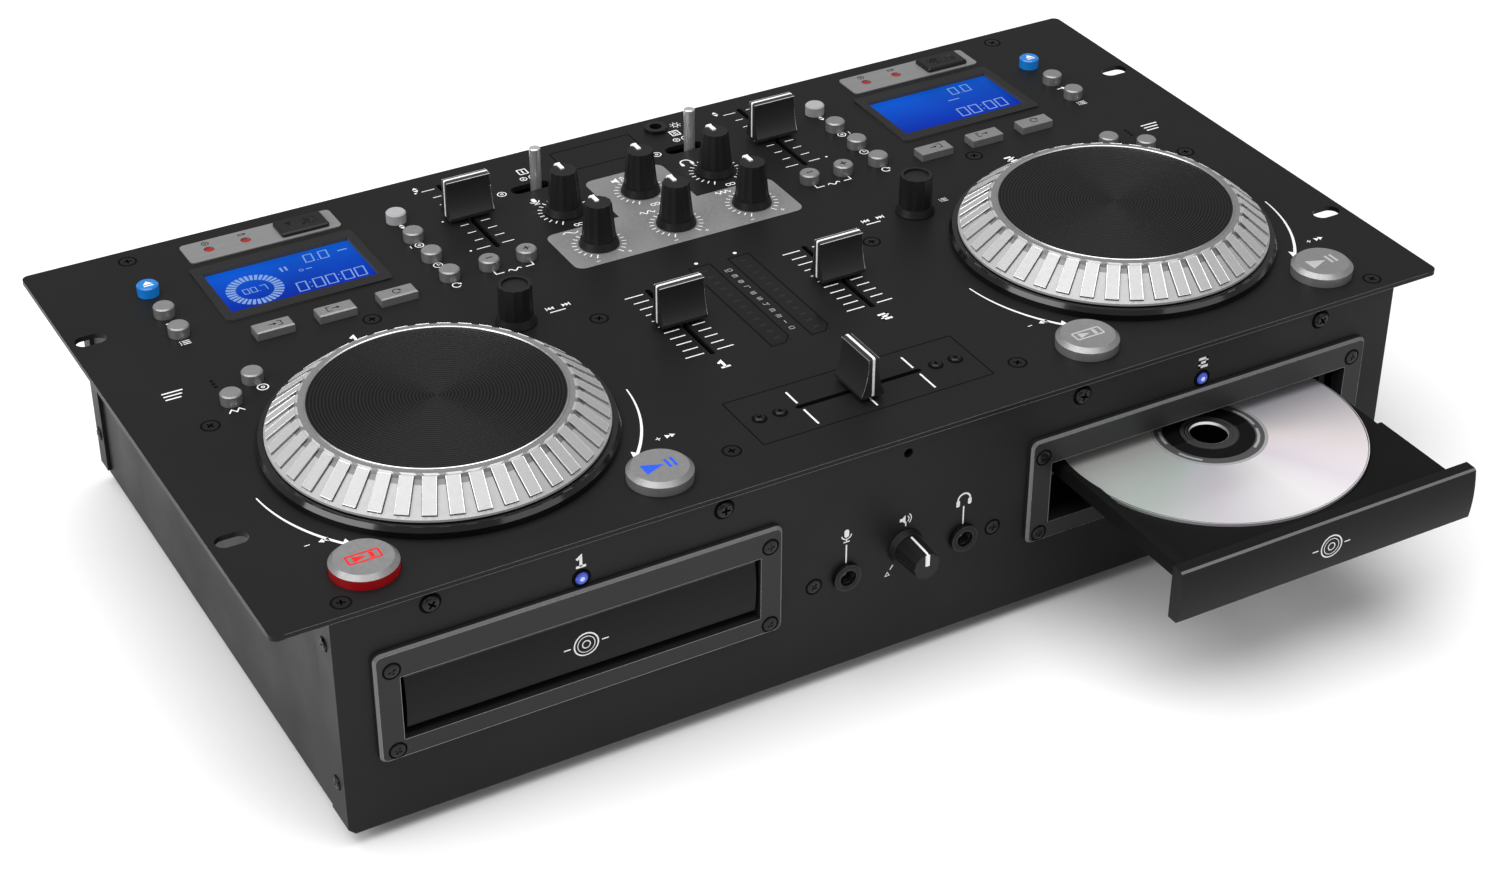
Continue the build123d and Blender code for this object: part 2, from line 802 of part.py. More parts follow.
# ================================================================ displays, meters and ports
with BuildPart() as display_frames:
    for tag, _ in decks:
        with BuildSketch(Plane.XY):
            with Locations((display_x[tag], display_y)):
                RectangleRounded(display_frame_width, display_frame_depth, display_frame_radius)
        extrude(amount=display_frame_rise)
        with BuildSketch(Plane.XY):
            with Locations((display_x[tag], display_y)):
                Rectangle(display_frame_width - 2 * (display_margin + seat_gap),
                          display_frame_depth - 2 * (display_margin + seat_gap))
        extrude(amount=-(display_screen_recess + display_screen_thickness))
    with BuildSketch(Plane.XY.offset(display_frame_rise)):
        with Locations(*[(display_x[tag], display_y) for tag, _ in decks]):
            Rectangle(display_screen_width - 0.6, display_screen_depth - 0.6)
    extrude(amount=-20, mode=Mode.SUBTRACT)
    with BuildSketch(Plane.XY.offset(-display_screen_recess)):
        with Locations(*[(display_x[tag], display_y) for tag, _ in decks]):
            Rectangle(display_screen_width, display_screen_depth)
    extrude(amount=-20, mode=Mode.SUBTRACT)
display_frames.part.label = "display_frames"
export_step(display_frames.part, "parts/display_frames.step")

with BuildPart() as display_windows:
    with BuildSketch(Plane.XY.offset(-display_screen_recess)):
        with Locations(*[(display_x[tag], display_y) for tag, _ in decks]):
            Rectangle(display_screen_width - seat_gap, display_screen_depth - seat_gap)
    extrude(amount=-display_screen_thickness)
    with BuildSketch(Plane.XY):
        with Locations((-meter_x, meter_y), (meter_x, meter_y)):
            Rectangle(meter_width - 2 * seat_gap, meter_length - 2 * seat_gap)
    extrude(amount=-panel_thickness)
display_windows.part.label = "display_windows"
export_step(display_windows.part, "parts/display_windows.step")

with BuildPart() as port_plates:
    with BuildSketch(Plane.XY):
        for tag, _ in decks:
            with Locations((port_plate_x[tag], port_plate_y)):
                RectangleRounded(port_plate_width, port_plate_depth, 2)
            with Locations((port_plate_x[tag] + usb_offset, port_plate_y)):
                Rectangle(usb_body_width + 2 * seat_gap, usb_body_depth + 2 * seat_gap,
                          mode=Mode.SUBTRACT)
            for offset in port_led_offsets:
                with Locations((port_plate_x[tag] + offset, port_plate_y)):
                    Circle(port_led_radius + seat_gap, mode=Mode.SUBTRACT)
    extrude(amount=port_plate_thickness)
port_plates.part.label = "port_plates"
export_step(port_plates.part, "parts/port_plates.step")

usb_places = [(port_plate_x[tag] + usb_offset, port_plate_y) for tag, _ in decks]
collar_top = port_plate_thickness + usb_collar_rise
with BuildPart() as usb_sockets:
    with BuildSketch(Plane.XY.offset(port_plate_thickness)):
        with Locations(*usb_places):
            RectangleRounded(usb_collar_width, usb_collar_depth, 1)
    extrude(amount=usb_collar_rise)
    chamfer(usb_sockets.edges().group_by(Axis.Z)[-1], 0.6)
    with BuildSketch(Plane.XY.offset(port_plate_thickness)):
        with Locations(*usb_places):
            Rectangle(usb_body_width, usb_body_depth)
    extrude(amount=-(usb_body_length + port_plate_thickness))
    with BuildSketch(Plane.XY.offset(collar_top)):
        with Locations(*usb_places):
            Rectangle(usb_mouth_width, usb_mouth_depth)
    extrude(amount=-(collar_top + usb_body_length - 1), mode=Mode.SUBTRACT)
    with BuildSketch(Plane.XY.offset(-usb_body_length)):
        with Locations(*usb_places):
            Rectangle(usb_mouth_width - 1.4, 1.7)
    extrude(amount=usb_body_length - 5)
usb_sockets.part.label = "usb_sockets"
export_step(usb_sockets.part, "parts/usb_sockets.step")

# Small lamps: two by each port plate, one over each tray.
led_neck = 3.0
led_dome = 0.9
with BuildPart() as indicator_leds:
    with Locations(*[(port_plate_x[tag] + offset, port_plate_y, 0)
                     for tag, _ in decks for offset in port_led_offsets]):
        with Locations((0, 0, -led_neck / 2)):
            Cylinder(port_led_radius, led_neck)
    with BuildSketch(front_plane.offset(-led_neck - front_sheet)):
        with Locations(*[(side * tray_x, front_led_z) for side in (-1, 1)]):
            Circle(front_led_radius)
    extrude(amount=led_neck + front_sheet + led_dome)
    chamfer(indicator_leds.edges().group_by(Axis.Y)[0], 0.7)
indicator_leds.part.label = "indicator_leds"
export_step(indicator_leds.part, "parts/indicator_leds.step")

# ================================================================ connectors
jack_ring_rise = 2.0
jack_body = 15.0
lamp_socket_depth = 10.0
pin_width = 2.0
pin_height = 4.0
with BuildPart() as connectors:
    # Two headphone-size jacks in the front.
    with BuildSketch(front_plane):
        with Locations((-jack_x, jack_z), (jack_x, jack_z)):
            Circle(jack_ring_radius)
    extrude(amount=jack_ring_rise)
    with BuildSketch(front_plane):
        with Locations((-jack_x, jack_z), (jack_x, jack_z)):
            Circle(jack_barrel_radius)
    extrude(amount=-front_sheet - 1)
    with BuildSketch(front_plane.offset(-front_sheet)):
        with Locations((-jack_x, jack_z), (jack_x, jack_z)):
            Rectangle(jack_body, jack_body)
    extrude(amount=-(jack_length - jack_ring_rise))
    with BuildSketch(front_plane.offset(jack_ring_rise)):
        with Locations((-jack_x, jack_z), (jack_x, jack_z)):
            Circle(jack_bore_radius)
    extrude(amount=-jack_length, mode=Mode.SUBTRACT)
    # Lamp socket at the back of the top panel.
    with BuildSketch(Plane.XY):
        with Locations(lamp_socket_place):
            Circle(lamp_socket_radius)
    extrude(amount=1.6)
    with BuildSketch(Plane.XY):
        with Locations(lamp_socket_place):
            Circle(lamp_socket_radius - 1)
    extrude(amount=-lamp_socket_depth)
    with BuildSketch(Plane.XY.offset(1.6)):
        with Locations(lamp_socket_place):
            Circle(2.6)
    extrude(amount=-lamp_socket_depth + 1, mode=Mode.SUBTRACT)
    # Two blocks of four phono sockets in the rear.
    with BuildSketch(rear_plane.offset(1)):
        with Locations(*[(-x, phono_z) for x in phono_x]):
            Rectangle(phono_width + 4, phono_height + 4)
    extrude(amount=-1)
    with BuildSketch(rear_plane):
        with Locations(*[(-x, phono_z) for x in phono_x]):
            Rectangle(phono_width, phono_height)
    extrude(amount=-10)
    with BuildSketch(rear_plane.offset(1)):
        with Locations(*[(-x, phono_z) for x in phono_x]):
            with GridLocations(phono_pitch, phono_pitch, 2, 2):
                Circle(phono_sleeve_radius)
                Circle(phono_bore_radius, mode=Mode.SUBTRACT)
    extrude(amount=phono_sleeve_length)
    # Mains inlet, and the housing of the rocker switch beside it.
    with BuildSketch(rear_plane):
        with Locations((-inlet_x, inlet_z)):
            Rectangle(inlet_width + 2 * inlet_flange, inlet_height + 2 * inlet_flange)
        with Locations((-rocker_x, inlet_z)):
            Rectangle(switch_body_width + 3, switch_body_height + 3)
    extrude(amount=1.6)
    with BuildSketch(rear_plane):
        with Locations((-inlet_x, inlet_z)):
            Rectangle(inlet_width, inlet_height)
        with Locations((-rocker_x, inlet_z)):
            Rectangle(switch_body_width, switch_body_height)
    extrude(amount=-inlet_depth)
    with BuildSketch(rear_plane.offset(1.6)):
        with Locations((-inlet_x, inlet_z)):
            Rectangle(inlet_mouth_width, inlet_mouth_height)
    extrude(amount=-inlet_depth, mode=Mode.SUBTRACT)
    with BuildSketch(rear_plane.offset(1.6 - inlet_depth)):
        with Locations((-inlet_x - 7, inlet_z - 2), (-inlet_x + 7, inlet_z - 2),
                       (-inlet_x, inlet_z + 3)):
            Rectangle(pin_width, pin_height)
    extrude(amount=inlet_depth - 7)
    with BuildSketch(rear_plane.offset(1.6)):
        with Locations((-rocker_x, inlet_z)):
            Rectangle(rocker_width + 2 * cover_gap, 2 * rocker_half_height + 1.6)
    extrude(amount=-7.5, mode=Mode.SUBTRACT)
connectors.part.label = "connectors"
export_step(connectors.part, "parts/connectors.step")

rocker_pivot_y = case_rear - 0.5
with BuildPart() as power_switch:
    rocker_up = Vector(0, sin(radians(rocker_tilt)), cos(radians(rocker_tilt)))
    with BuildSketch(Plane(origin=(rocker_x, rocker_pivot_y, inlet_z), x_dir=rocker_up,
                           z_dir=(-1, 0, 0))):
        Polygon(
            (-rocker_half_height, -1),
            (rocker_half_height, -1),
            (rocker_half_height, 2.6),
            (0, 1.4),
            (-rocker_half_height, 2.6),
            align=None,
        )
    extrude(amount=rocker_width / 2, both=True)
power_switch.part.label = "power_switch"
export_step(power_switch.part, "parts/power_switch.step")

# ================================================================ trays, doors and disc
door_middle_z = (door_top_z + door_bottom_z) / 2


def disc_tray(tag, side, opened):
    """Tray plate with a raised left rail, a disc well and a slot for the spindle."""
    centre_x = side * tray_x
    front_y = tray_front_closed - opened
    disc_y = front_y + disc_setback
    base = Plane(origin=(centre_x, front_y, tray_top_z))
    with BuildPart() as tray:
        with BuildSketch(base):
            with BuildLine():
                Polyline(
                    (-tray_half_width, 0),
                    (tray_half_width, 0),
                    (tray_half_width, tray_wide_length),
                    (tray_inner_half_width, tray_wide_length),
                    (tray_inner_half_width, tray_length),
                    (-tray_half_width, tray_length),
                    close=True,
                )
            make_face()
        extrude(amount=-tray_thickness)
        with BuildSketch(base):
            with Locations((-tray_half_width + tray_rail_width / 2, tray_length / 2)):
                Rectangle(tray_rail_width, tray_length)
        extrude(amount=tray_rail_rise)
        with BuildSketch(base):
            with Locations((0, disc_setback)):
                Circle(disc_radius + well_margin)
        extrude(amount=-well_depth, mode=Mode.SUBTRACT)
        with BuildSketch(base):
            with Locations((0, disc_setback)):
                Circle(disc_radius + well_margin)
        extrude(amount=tray_rail_rise, mode=Mode.SUBTRACT)
        with BuildSketch(base.offset(-well_depth)):
            with Locations((0, disc_setback)):
                Circle(disc_radius)
                Circle(disc_radius - seat_width, mode=Mode.SUBTRACT)
        extrude(amount=seat_rise)
        slot_front = disc_setback - spindle_slot_width / 2
        slot_rear = disc_setback + disc_radius - seat_width
        with BuildSketch(base.offset(-tray_thickness)):
            with Locations((0, (slot_front + slot_rear) / 2)):
                SlotOverall(slot_rear - slot_front, spindle_slot_width, rotation=90)
        extrude(amount=tray_thickness, mode=Mode.SUBTRACT)
    tray.part.label = f"tray_{tag}"
    export_step(tray.part, f"parts/tray_{tag}.step")

    # Convex door clipped to the front edge of the tray.
    with BuildPart() as door:
        side_view = Plane(origin=(centre_x, front_y, 0), x_dir=(0, 1, 0), z_dir=(1, 0, 0))
        with BuildSketch(side_view):
            with BuildLine():
                Line((0, door_bottom_z), (0, door_top_z))
                Line((0, door_top_z), (-door_thickness, door_top_z))
                ThreePointArc(
                    (-door_thickness, door_top_z),
                    (-door_thickness - door_bulge, door_middle_z),
                    (-door_thickness, door_bottom_z),
                )
                Line((-door_thickness, door_bottom_z), (0, door_bottom_z))
            make_face()
        extrude(amount=door_width / 2, both=True)
        front_edges = door.edges().filter_by(Axis.X).group_by(Axis.Y)[0]
        chamfer(front_edges, door_bevel)
    door.part.label = f"tray_door_{tag}"
    export_step(door.part, f"parts/tray_door_{tag}.step")
    return disc_y


disc_tray("a", -1, 0.0)
disc_y = disc_tray("b", 1, tray_open_now)

disc_bottom = tray_top_z - well_depth + seat_rise
with BuildPart() as compact_disc:
    with BuildSketch(Plane.XY.offset(disc_bottom)):
        with Locations((tray_x, disc_y)):
            Circle(disc_radius)
            Circle(disc_hole_radius, mode=Mode.SUBTRACT)
    extrude(amount=disc_thickness)
compact_disc.part.label = "compact_disc"
export_step(compact_disc.part, "parts/compact_disc.step")

# ================================================================ loaders
loader_front = door_back_closed + 1.2
loader_rear = tray_front_closed + tray_length + 4
loader_length = loader_rear - loader_front
loader_middle = (loader_rear + loader_front) / 2
loader_inner = tray_half_width + loader_side_gap
loader_outer = loader_inner + loader_wall
tray_under = tray_top_z - tray_thickness
leg_width = 8.0
leg_inset = 14.0
bridge_width = 36.0
bridge_thickness = 2.0
clamp_radius = 14.0
clamp_depth = 2.2
motor_radius = 11.0
motor_height = 10.0
turntable_radius = 14.0
turntable_height = 16.0
rod_radius = 1.5
rod_z = loader_floor_z + 8
rod_x = 17.0
sled_width = 26.0
sled_length = 18.0
sled_height = 7.0

with BuildPart() as loader_decks:
    for _, side in decks:
        centre = side * tray_x
        # Channel with guide lips that carry the edges of the tray.
        with BuildSketch(Plane(origin=(centre, loader_front, 0), x_dir=(1, 0, 0), z_dir=(0, -1, 0))):
            with BuildLine():
                guide_top = tray_under - cover_gap / 2
                guide_low = guide_top - loader_guide_thickness
                inner_lip = loader_inner - loader_guide_width
                Polyline(
                    (-loader_outer, loader_floor_z - 2),
                    (loader_outer, loader_floor_z - 2),
                    (loader_outer, loader_top_z),
                    (loader_inner, loader_top_z),
                    (loader_inner, guide_top),
                    (inner_lip, guide_top),
                    (inner_lip, guide_low),
                    (loader_inner, guide_low),
                    (loader_inner, loader_floor_z),
                    (-loader_inner, loader_floor_z),
                    (-loader_inner, guide_low),
                    (-inner_lip, guide_low),
                    (-inner_lip, guide_top),
                    (-loader_inner, guide_top),
                    (-loader_inner, loader_top_z),
                    (-loader_outer, loader_top_z),
                    close=True,
                )
            make_face()
        extrude(amount=-loader_length)
        # Bridge over the disc with the clamp, and four legs to the floor of the case.
        with BuildSketch(Plane.XY.offset(loader_top_z)):
            with Locations((centre, disc_closed_y)):
                Rectangle(2 * loader_outer, bridge_width)
        extrude(amount=-bridge_thickness)
        with BuildSketch(Plane.XY.offset(loader_top_z - bridge_thickness)):
            with Locations((centre, disc_closed_y)):
                Circle(clamp_radius)
        extrude(amount=-clamp_depth)
        with BuildSketch(Plane.XY.offset(loader_floor_z - 2)):
            with Locations((centre, loader_middle)):
                with GridLocations(2 * (loader_outer - leg_inset), loader_length - 2 * leg_inset, 2, 2):
                    Rectangle(leg_width, leg_width)
        extrude(amount=case_bottom + sheet - (loader_floor_z - 2))
        # Spindle motor with its turntable, and the pickup sled on two rods.
        with BuildSketch(Plane.XY.offset(loader_floor_z)):
            with Locations((centre, disc_closed_y)):
                Circle(motor_radius)
        extrude(amount=motor_height)
        with BuildSketch(Plane.XY.offset(loader_floor_z + motor_height)):
            with Locations((centre, disc_closed_y)):
                Circle(disc_hole_radius - 0.4)
        extrude(amount=turntable_height - motor_height + 1.2)
        with BuildSketch(Plane.XY.offset(loader_floor_z + turntable_height - 1.5)):
            with Locations((centre, disc_closed_y)):
                Circle(turntable_radius)
        extrude(amount=1.5)
        rod_front = disc_closed_y + turntable_radius + 2
        rod_rear = disc_closed_y + disc_radius
        with BuildSketch(Plane(origin=(centre, rod_front, 0), x_dir=(1, 0, 0), z_dir=(0, -1, 0))):
            with Locations((-rod_x, rod_z), (rod_x, rod_z)):
                Rectangle(2 * rod_radius, 2 * rod_radius)
        extrude(amount=-(rod_rear - rod_front))
        with BuildSketch(Plane.XY.offset(loader_floor_z)):
            with Locations((centre, rod_rear)):
                Rectangle(2 * rod_x + 8, 4)
            with Locations((centre - rod_x, rod_front + 2), (centre + rod_x, rod_front + 2)):
                Rectangle(6, 4)
        extrude(amount=rod_z - loader_floor_z + rod_radius + 1)
        with BuildSketch(Plane.XY.offset(rod_z - sled_height / 2)):
            with Locations((centre, (rod_front + rod_rear) / 2)):
                Rectangle(sled_width + 14, sled_length)
        extrude(amount=sled_height)
loader_decks.part.label = "loader_decks"
export_step(loader_decks.part, "parts/loader_decks.step")

# ================================================================ circuit boards
control_board_width = 420.0
control_board_rear = 104.0
control_board_front = -119.0
slide_pot_width = 9.0
slide_pot_extra = 16.0
pot_width = 14.0
spacer_radius = 3.2
pot_top = -shaft_depth - 0.2
main_board_width = 118.0
main_board_length = 170.0
main_board_z = -85.0
main_board_y = 25.0
supply_width = 60.0
supply_length = 45.0
supply_height = 30.0
lever_groove = fader_slot_width + 0.4

with BuildPart() as circuit_boards:
    # Control board under the panel, hung on six spacers.
    with BuildSketch(Plane.XY.offset(control_board_z)):
        with Locations((0, (control_board_rear + control_board_front) / 2)):
            Rectangle(control_board_width, control_board_rear - control_board_front)
    extrude(amount=-board_thickness)
    with BuildSketch(Plane.XY.offset(control_board_z)):
        with Locations(*mirrored(board_screws)):
            Circle(spacer_radius)
    extrude(amount=panel_under - control_board_z)
    with BuildSketch(Plane.XY.offset(panel_under)):
        with Locations(*mirrored(board_screws)):
            Circle(screw_shank_radius + seat_gap)
    extrude(amount=-(screw_length - panel_thickness + 1), mode=Mode.SUBTRACT)
    # Main board with the power supply, on the floor of the case between the loaders.
    with BuildSketch(Plane.XY.offset(main_board_z)):
        with Locations((0, main_board_y)):
            Rectangle(main_board_width, main_board_length)
    extrude(amount=board_thickness)
    with BuildSketch(Plane.XY.offset(case_bottom + sheet)):
        with Locations((0, main_board_y)):
            with GridLocations(main_board_width - 10, main_board_length - 10, 2, 2):
                Circle(spacer_radius)
    extrude(amount=main_board_z - case_bottom - sheet)
    with BuildSketch(Plane.XY.offset(main_board_z + board_thickness)):
        with Locations((0, main_board_y + main_board_length / 2 - supply_length / 2 - 8)):
            Rectangle(supply_width, supply_length)
    extrude(amount=supply_height)
circuit_boards.part.label = "circuit_boards"
export_step(circuit_boards.part, "parts/circuit_boards.step")

# Slide potentiometers with a groove for the lever, and round ones under the knobs.
with BuildPart() as potentiometers:
    with BuildSketch(Plane.XY.offset(control_board_z)):
        for side in (-1, 1):
            with Locations((side * pitch_slot_x, pitch_centre_y - 6)):
                Rectangle(slide_pot_width, pitch_travel + slide_pot_extra - 12)
            with Locations((side * channel_slot_x, channel_centre_y)):
                Rectangle(slide_pot_width, channel_travel + slide_pot_extra)
            with Locations((side * track_knob_x, track_knob_y)):
                Rectangle(pot_width, pot_width)
        with Locations((0, crossfader_y)):
            Rectangle(crossfader_travel + slide_pot_extra, slide_pot_width)
        with Locations(*[(x, y) for x in knob_columns for y in knob_rows]):
            Rectangle(pot_width, pot_width)
        with Locations(*switch_centres):
            Rectangle(switch_slot_length + 3, slide_pot_width)
    extrude(amount=pot_top - control_board_z)
    with BuildSketch(Plane.XY.offset(control_board_z + 2)):
        for side in (-1, 1):
            with Locations((side * pitch_slot_x, pitch_centre_y)):
                Rectangle(lever_groove, fader_slot_length(pitch_travel) + 8)
            with Locations((side * channel_slot_x, channel_centre_y)):
                Rectangle(lever_groove, fader_slot_length(channel_travel))
        with Locations((0, crossfader_y)):
            Rectangle(fader_slot_length(crossfader_travel), lever_groove)
    extrude(amount=12, mode=Mode.SUBTRACT)
potentiometers.part.label = "potentiometers"
export_step(potentiometers.part, "parts/potentiometers.step")
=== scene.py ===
import math

import bpy
from mathutils import Matrix, Vector
from mathutils.geometry import tessellate_polygon


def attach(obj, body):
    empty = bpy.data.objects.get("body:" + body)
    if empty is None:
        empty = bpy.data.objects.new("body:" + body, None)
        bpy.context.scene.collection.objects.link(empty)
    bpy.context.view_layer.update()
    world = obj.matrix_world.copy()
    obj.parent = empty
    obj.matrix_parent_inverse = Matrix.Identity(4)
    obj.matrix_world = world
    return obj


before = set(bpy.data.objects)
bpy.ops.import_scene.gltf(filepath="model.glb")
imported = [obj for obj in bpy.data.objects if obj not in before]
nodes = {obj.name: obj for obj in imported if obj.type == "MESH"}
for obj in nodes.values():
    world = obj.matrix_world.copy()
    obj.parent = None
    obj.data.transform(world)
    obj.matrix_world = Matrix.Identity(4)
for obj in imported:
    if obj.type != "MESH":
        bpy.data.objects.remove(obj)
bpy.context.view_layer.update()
MM = 0.001
TAU = 2 * math.pi

# places that several pieces share, in millimetres from the middle of the panel's top
SIDES = (("a", -1), ("b", 1))
JOG = {"a": (-145.3, -48.0), "b": (145.3, -48.0)}
KNOBS = {"low_tone": (-34.4, 45.8), "mid_tone": (0, 45.8), "high_tone": (34.6, 45.8),
         "mic_level": (-34.4, 76.4), "master_level": (0, 76.4), "cue_level": (34.6, 76.4)}
LCD = {"a": (-149.6, 81.7), "b": (150.6, 81.7)}
PORTS = (-148.8, 152.5)
PITCH_X, PITCH_REST, PITCH_TOP, PITCH_STEP = 70.0, 91.7, 118.3, 6.66
CHANNEL_X, CHANNEL_REST, CHANNEL_TOP, CHANNEL_STEP = 34.7, -21.5, 2.7, 4.87
CROSS_Y = -94.6
METER_X, METER_TOP, METER_STEP, METER_LAMPS = 8.6, 6.6, 5.1, 12
SMALL_X, BEND_OUT, BEND_IN, BEND_Y = 96.8, 80.0, 64.0, 50.0
LIST_X = 202.3
LOOP_X, LOOP_Y = 146.0, 45.2
BUTTON_Y, CUE_X, PLAY_X = -110.0, (-200.2, 89.8), (-89.8, 200.2)
FRONT_Y, REAR_Y = -129.0, 128.5
TRAY_X, TRAY_OUT = 130.3, 79.2
JACK_X, JACK_Z = 25.0, -53.2
BLEND_Z = -48.5
HUB = (TRAY_X, -136.5, -36.8)
WHEEL = {"a": "jog_left", "b": "jog_right"}
PADS = 40


# ------------------------ materials
M = {}


class Shade:
    """One procedural material. Coordinates are the row's own, in metres."""

    def __init__(self, name, color, rough, metal=0.0, coat=0.0, emit=None, emit_strength=0.0,
                 specular=0.5, aniso=0.0):
        self.mat = bpy.data.materials.new(name)
        self.mat.use_nodes = True
        self.tree = self.mat.node_tree
        self.bsdf = self.tree.nodes["Principled BSDF"]
        self.set("Base Color", (*color, 1))
        self.set("Roughness", rough)
        self.set("Metallic", metal)
        self.set("Coat Weight", coat)
        self.set("Coat Roughness", 0.08)
        self.set("IOR", 1.5)
        self.set("Specular IOR Level", specular)
        self.set("Anisotropic", aniso)
        self.rough = rough
        if emit:
            self.set("Emission Color", (*emit, 1))
            self.set("Emission Strength", emit_strength)
        self.coord = self.node("ShaderNodeTexCoord").outputs["Object"]
        M[name] = self.mat

    def set(self, socket, value):
        self.bsdf.inputs[socket].default_value = value

    def node(self, kind, values=(), **props):
        """A new node with its sockets' values and its properties."""
        n = self.tree.nodes.new(kind)
        for key, value in props.items():
            setattr(n, key, value)
        for socket, value in dict(values).items():
            n.inputs[socket].default_value = value
        return n

    def link(self, a, b):
        self.tree.links.new(a, b)

    def mapped(self, scale=(1, 1, 1), location=(0, 0, 0)):
        shift = [-a * s for a, s in zip(location, scale)]
        m = self.node("ShaderNodeMapping", {"Scale": scale, "Location": shift})
        self.link(self.coord, m.inputs["Vector"])
        return m.outputs["Vector"]

    def noise(self, scale, stretch=(1, 1, 1), detail=3.0):
        n = self.node("ShaderNodeTexNoise", {"Scale": scale, "Detail": detail})
        self.link(self.mapped(stretch), n.inputs["Vector"])
        return n.outputs["Fac"]

    def axis(self, name):
        apart = self.node("ShaderNodeSeparateXYZ")
        self.link(self.coord, apart.inputs["Vector"])
        return apart.outputs[name]

    def ramp(self, source, low, high, at=(0.3, 0.7)):
        r = self.node("ShaderNodeMapRange",
                      {"From Min": at[0], "From Max": at[1], "To Min": low, "To Max": high})
        self.link(source, r.inputs["Value"])
        return r.outputs["Result"]

    def bump(self, source, depth_mm):
        b = self.node("ShaderNodeBump", {"Distance": depth_mm * MM})
        self.link(source, b.inputs["Height"])
        self.link(b.outputs["Normal"], self.bsdf.inputs["Normal"])

    def vary_rough(self, source, spread):
        self.link(self.ramp(source, self.rough - spread, self.rough + spread),
                  self.bsdf.inputs["Roughness"])

    def vary_color(self, source, low, high, at=(0.3, 0.7), socket="Base Color"):
        mix = self.node("ShaderNodeMix", {"A": (*low, 1), "B": (*high, 1)}, data_type="RGBA")
        self.link(self.ramp(source, 0, 1, at), mix.inputs["Factor"])
        self.link(mix.outputs["Result"], self.bsdf.inputs[socket])


def grey(v):
    """A grey that leans a little to blue."""
    return (v, v, v * 1.03)


def painted(name, value, rough, grain=1500, depth=0.02, coat=0.0, specular=0.2):
    """Powder coat or moulded plastic: fine grain, soft patches of gloss."""
    s = Shade(name, grey(value), rough, coat=coat, specular=specular)
    s.bump(s.noise(grain), depth)
    s.vary_rough(s.noise(28), 0.05)
    s.vary_color(s.noise(9), grey(value * 0.9), grey(value * 1.12))


def metal(name, value, rough, stretch=(1, 1, 1), scale=900, depth=0.006, level=1.0):
    """Bare or anodised metal, its grain stretched along the brushing."""
    s = Shade(name, (value,) * 3, rough, metal=level)
    s.bump(s.noise(scale, stretch), depth)
    s.vary_rough(s.noise(scale / 3, stretch), 0.06)


def ink(name, color, rough=0.5):
    """Screen print: a little uneven in tone, matt, with a slight raised edge."""
    s = Shade(name, color, rough)
    s.vary_color(s.noise(400), tuple(c * 0.9 for c in color), color)
    s.bump(s.noise(1800), 0.01)


def glow(name, color, strength, base=(0.02, 0.02, 0.02)):
    """Lit plastic: its own colour under a faint light from inside."""
    s = Shade(name, base, 0.25, emit=color, emit_strength=strength, coat=0.3)
    s.bump(s.noise(700), 0.01)


painted("panel", 0.0070, 0.42, 1500, 0.03, specular=0.14)
painted("front", 0.0105, 0.45, 1500, 0.03, specular=0.14)
painted("side", 0.010, 0.48, 1500, 0.03, specular=0.16)
painted("bezel", 0.015, 0.42, 1100, 0.02, specular=0.25)
# painted highlight: lighter grey for the bezels' chamfers, the doors' top edges and the sheets' edges
painted("bevel_highlight", 0.11, 0.28, 1100, 0.01, specular=0.6)
painted("door", 0.005, 0.30, 1300, 0.006, specular=0.12)
painted("tray", 0.005, 0.6, 900, 0.03, specular=0.06)
painted("rubber", 0.012, 0.75, 600, 0.05)
painted("ring", 0.003, 0.14, 500, 0.003, coat=0.4, specular=0.4)
painted("knob", 0.008, 0.46, 1500, 0.02, specular=0.22)
painted("fader", 0.014, 0.38, 1400, 0.02, specular=0.32)
painted("socket", 0.006, 0.3, 900, 0.01, specular=0.3)
painted("frame", 0.009, 0.4, 1200, 0.02, specular=0.25)
painted("recess", 0.055, 0.45, 1200, 0.01, specular=0.25)
painted("screw", 0.005, 0.26, 900, 0.01, coat=0.05, specular=0.22)
painted("board", 0.02, 0.5, 300, 0.05)
painted("loader", 0.012, 0.45, 700, 0.03)
ink("white", (0.78, 0.78, 0.79))
ink("pale", (0.38, 0.38, 0.385))
painted("hole", 0.002, 0.8, 300, 0.01, specular=0.05)
painted("smoke", 0.004, 0.22, 400, 0.002, specular=0.25)
painted("lamp_dim", 0.011, 0.3, 400, 0.002, specular=0.2)
metal("silver", 0.40, 0.44, scale=2200, depth=0.010, level=0.3)
# painted shade: the dark strips round the feet of the jog wheel's pads
painted("pad_foot_shade", 0.05, 0.5, 900, 0.01)
# painted highlight: the bright metal tubes along the top edges of the jog wheel's pads
metal("edge", 0.85, 0.25, scale=900, depth=0.004, level=0.7)
metal("button", 0.27, 0.34, scale=2000, depth=0.010, level=0.6)
# painted highlight for the thin bright rings of the disc's hub and rim
metal("disc_glint", 0.86, 0.14, scale=400, depth=0.004)
# nickel for the metal parts, and for the tubes of painted highlight along the fader caps' rims
metal("nickel_and_highlight", 0.60, 0.25, scale=600, depth=0.006)
metal("plate", 0.25, 0.38, stretch=(0.05, 1, 1), scale=2600, depth=0.012, level=0.5)
metal("eqarea", 0.25, 0.42, scale=1800, depth=0.012, level=0.5)
painted("pitchcap", 0.30, 0.5, 900, 0.01)
ink("line", (0.85, 0.85, 0.86), 0.3)
glow("lcd_ink", (0.22, 0.42, 0.85), 0.8)
glow("red_glow", (0.9, 0.0, 0.0), 0.10, (0.17, 0.003, 0.006))
glow("red_sign", (0.9, 0.0, 0.0), 0.35, (0.45, 0.004, 0.004))
glow("eject", (0.0, 0.10, 0.36), 0.5, (0.005, 0.12, 0.36))
glow("blue_glow", (0.0, 0.06, 0.8), 0.6, (0.005, 0.05, 0.4))
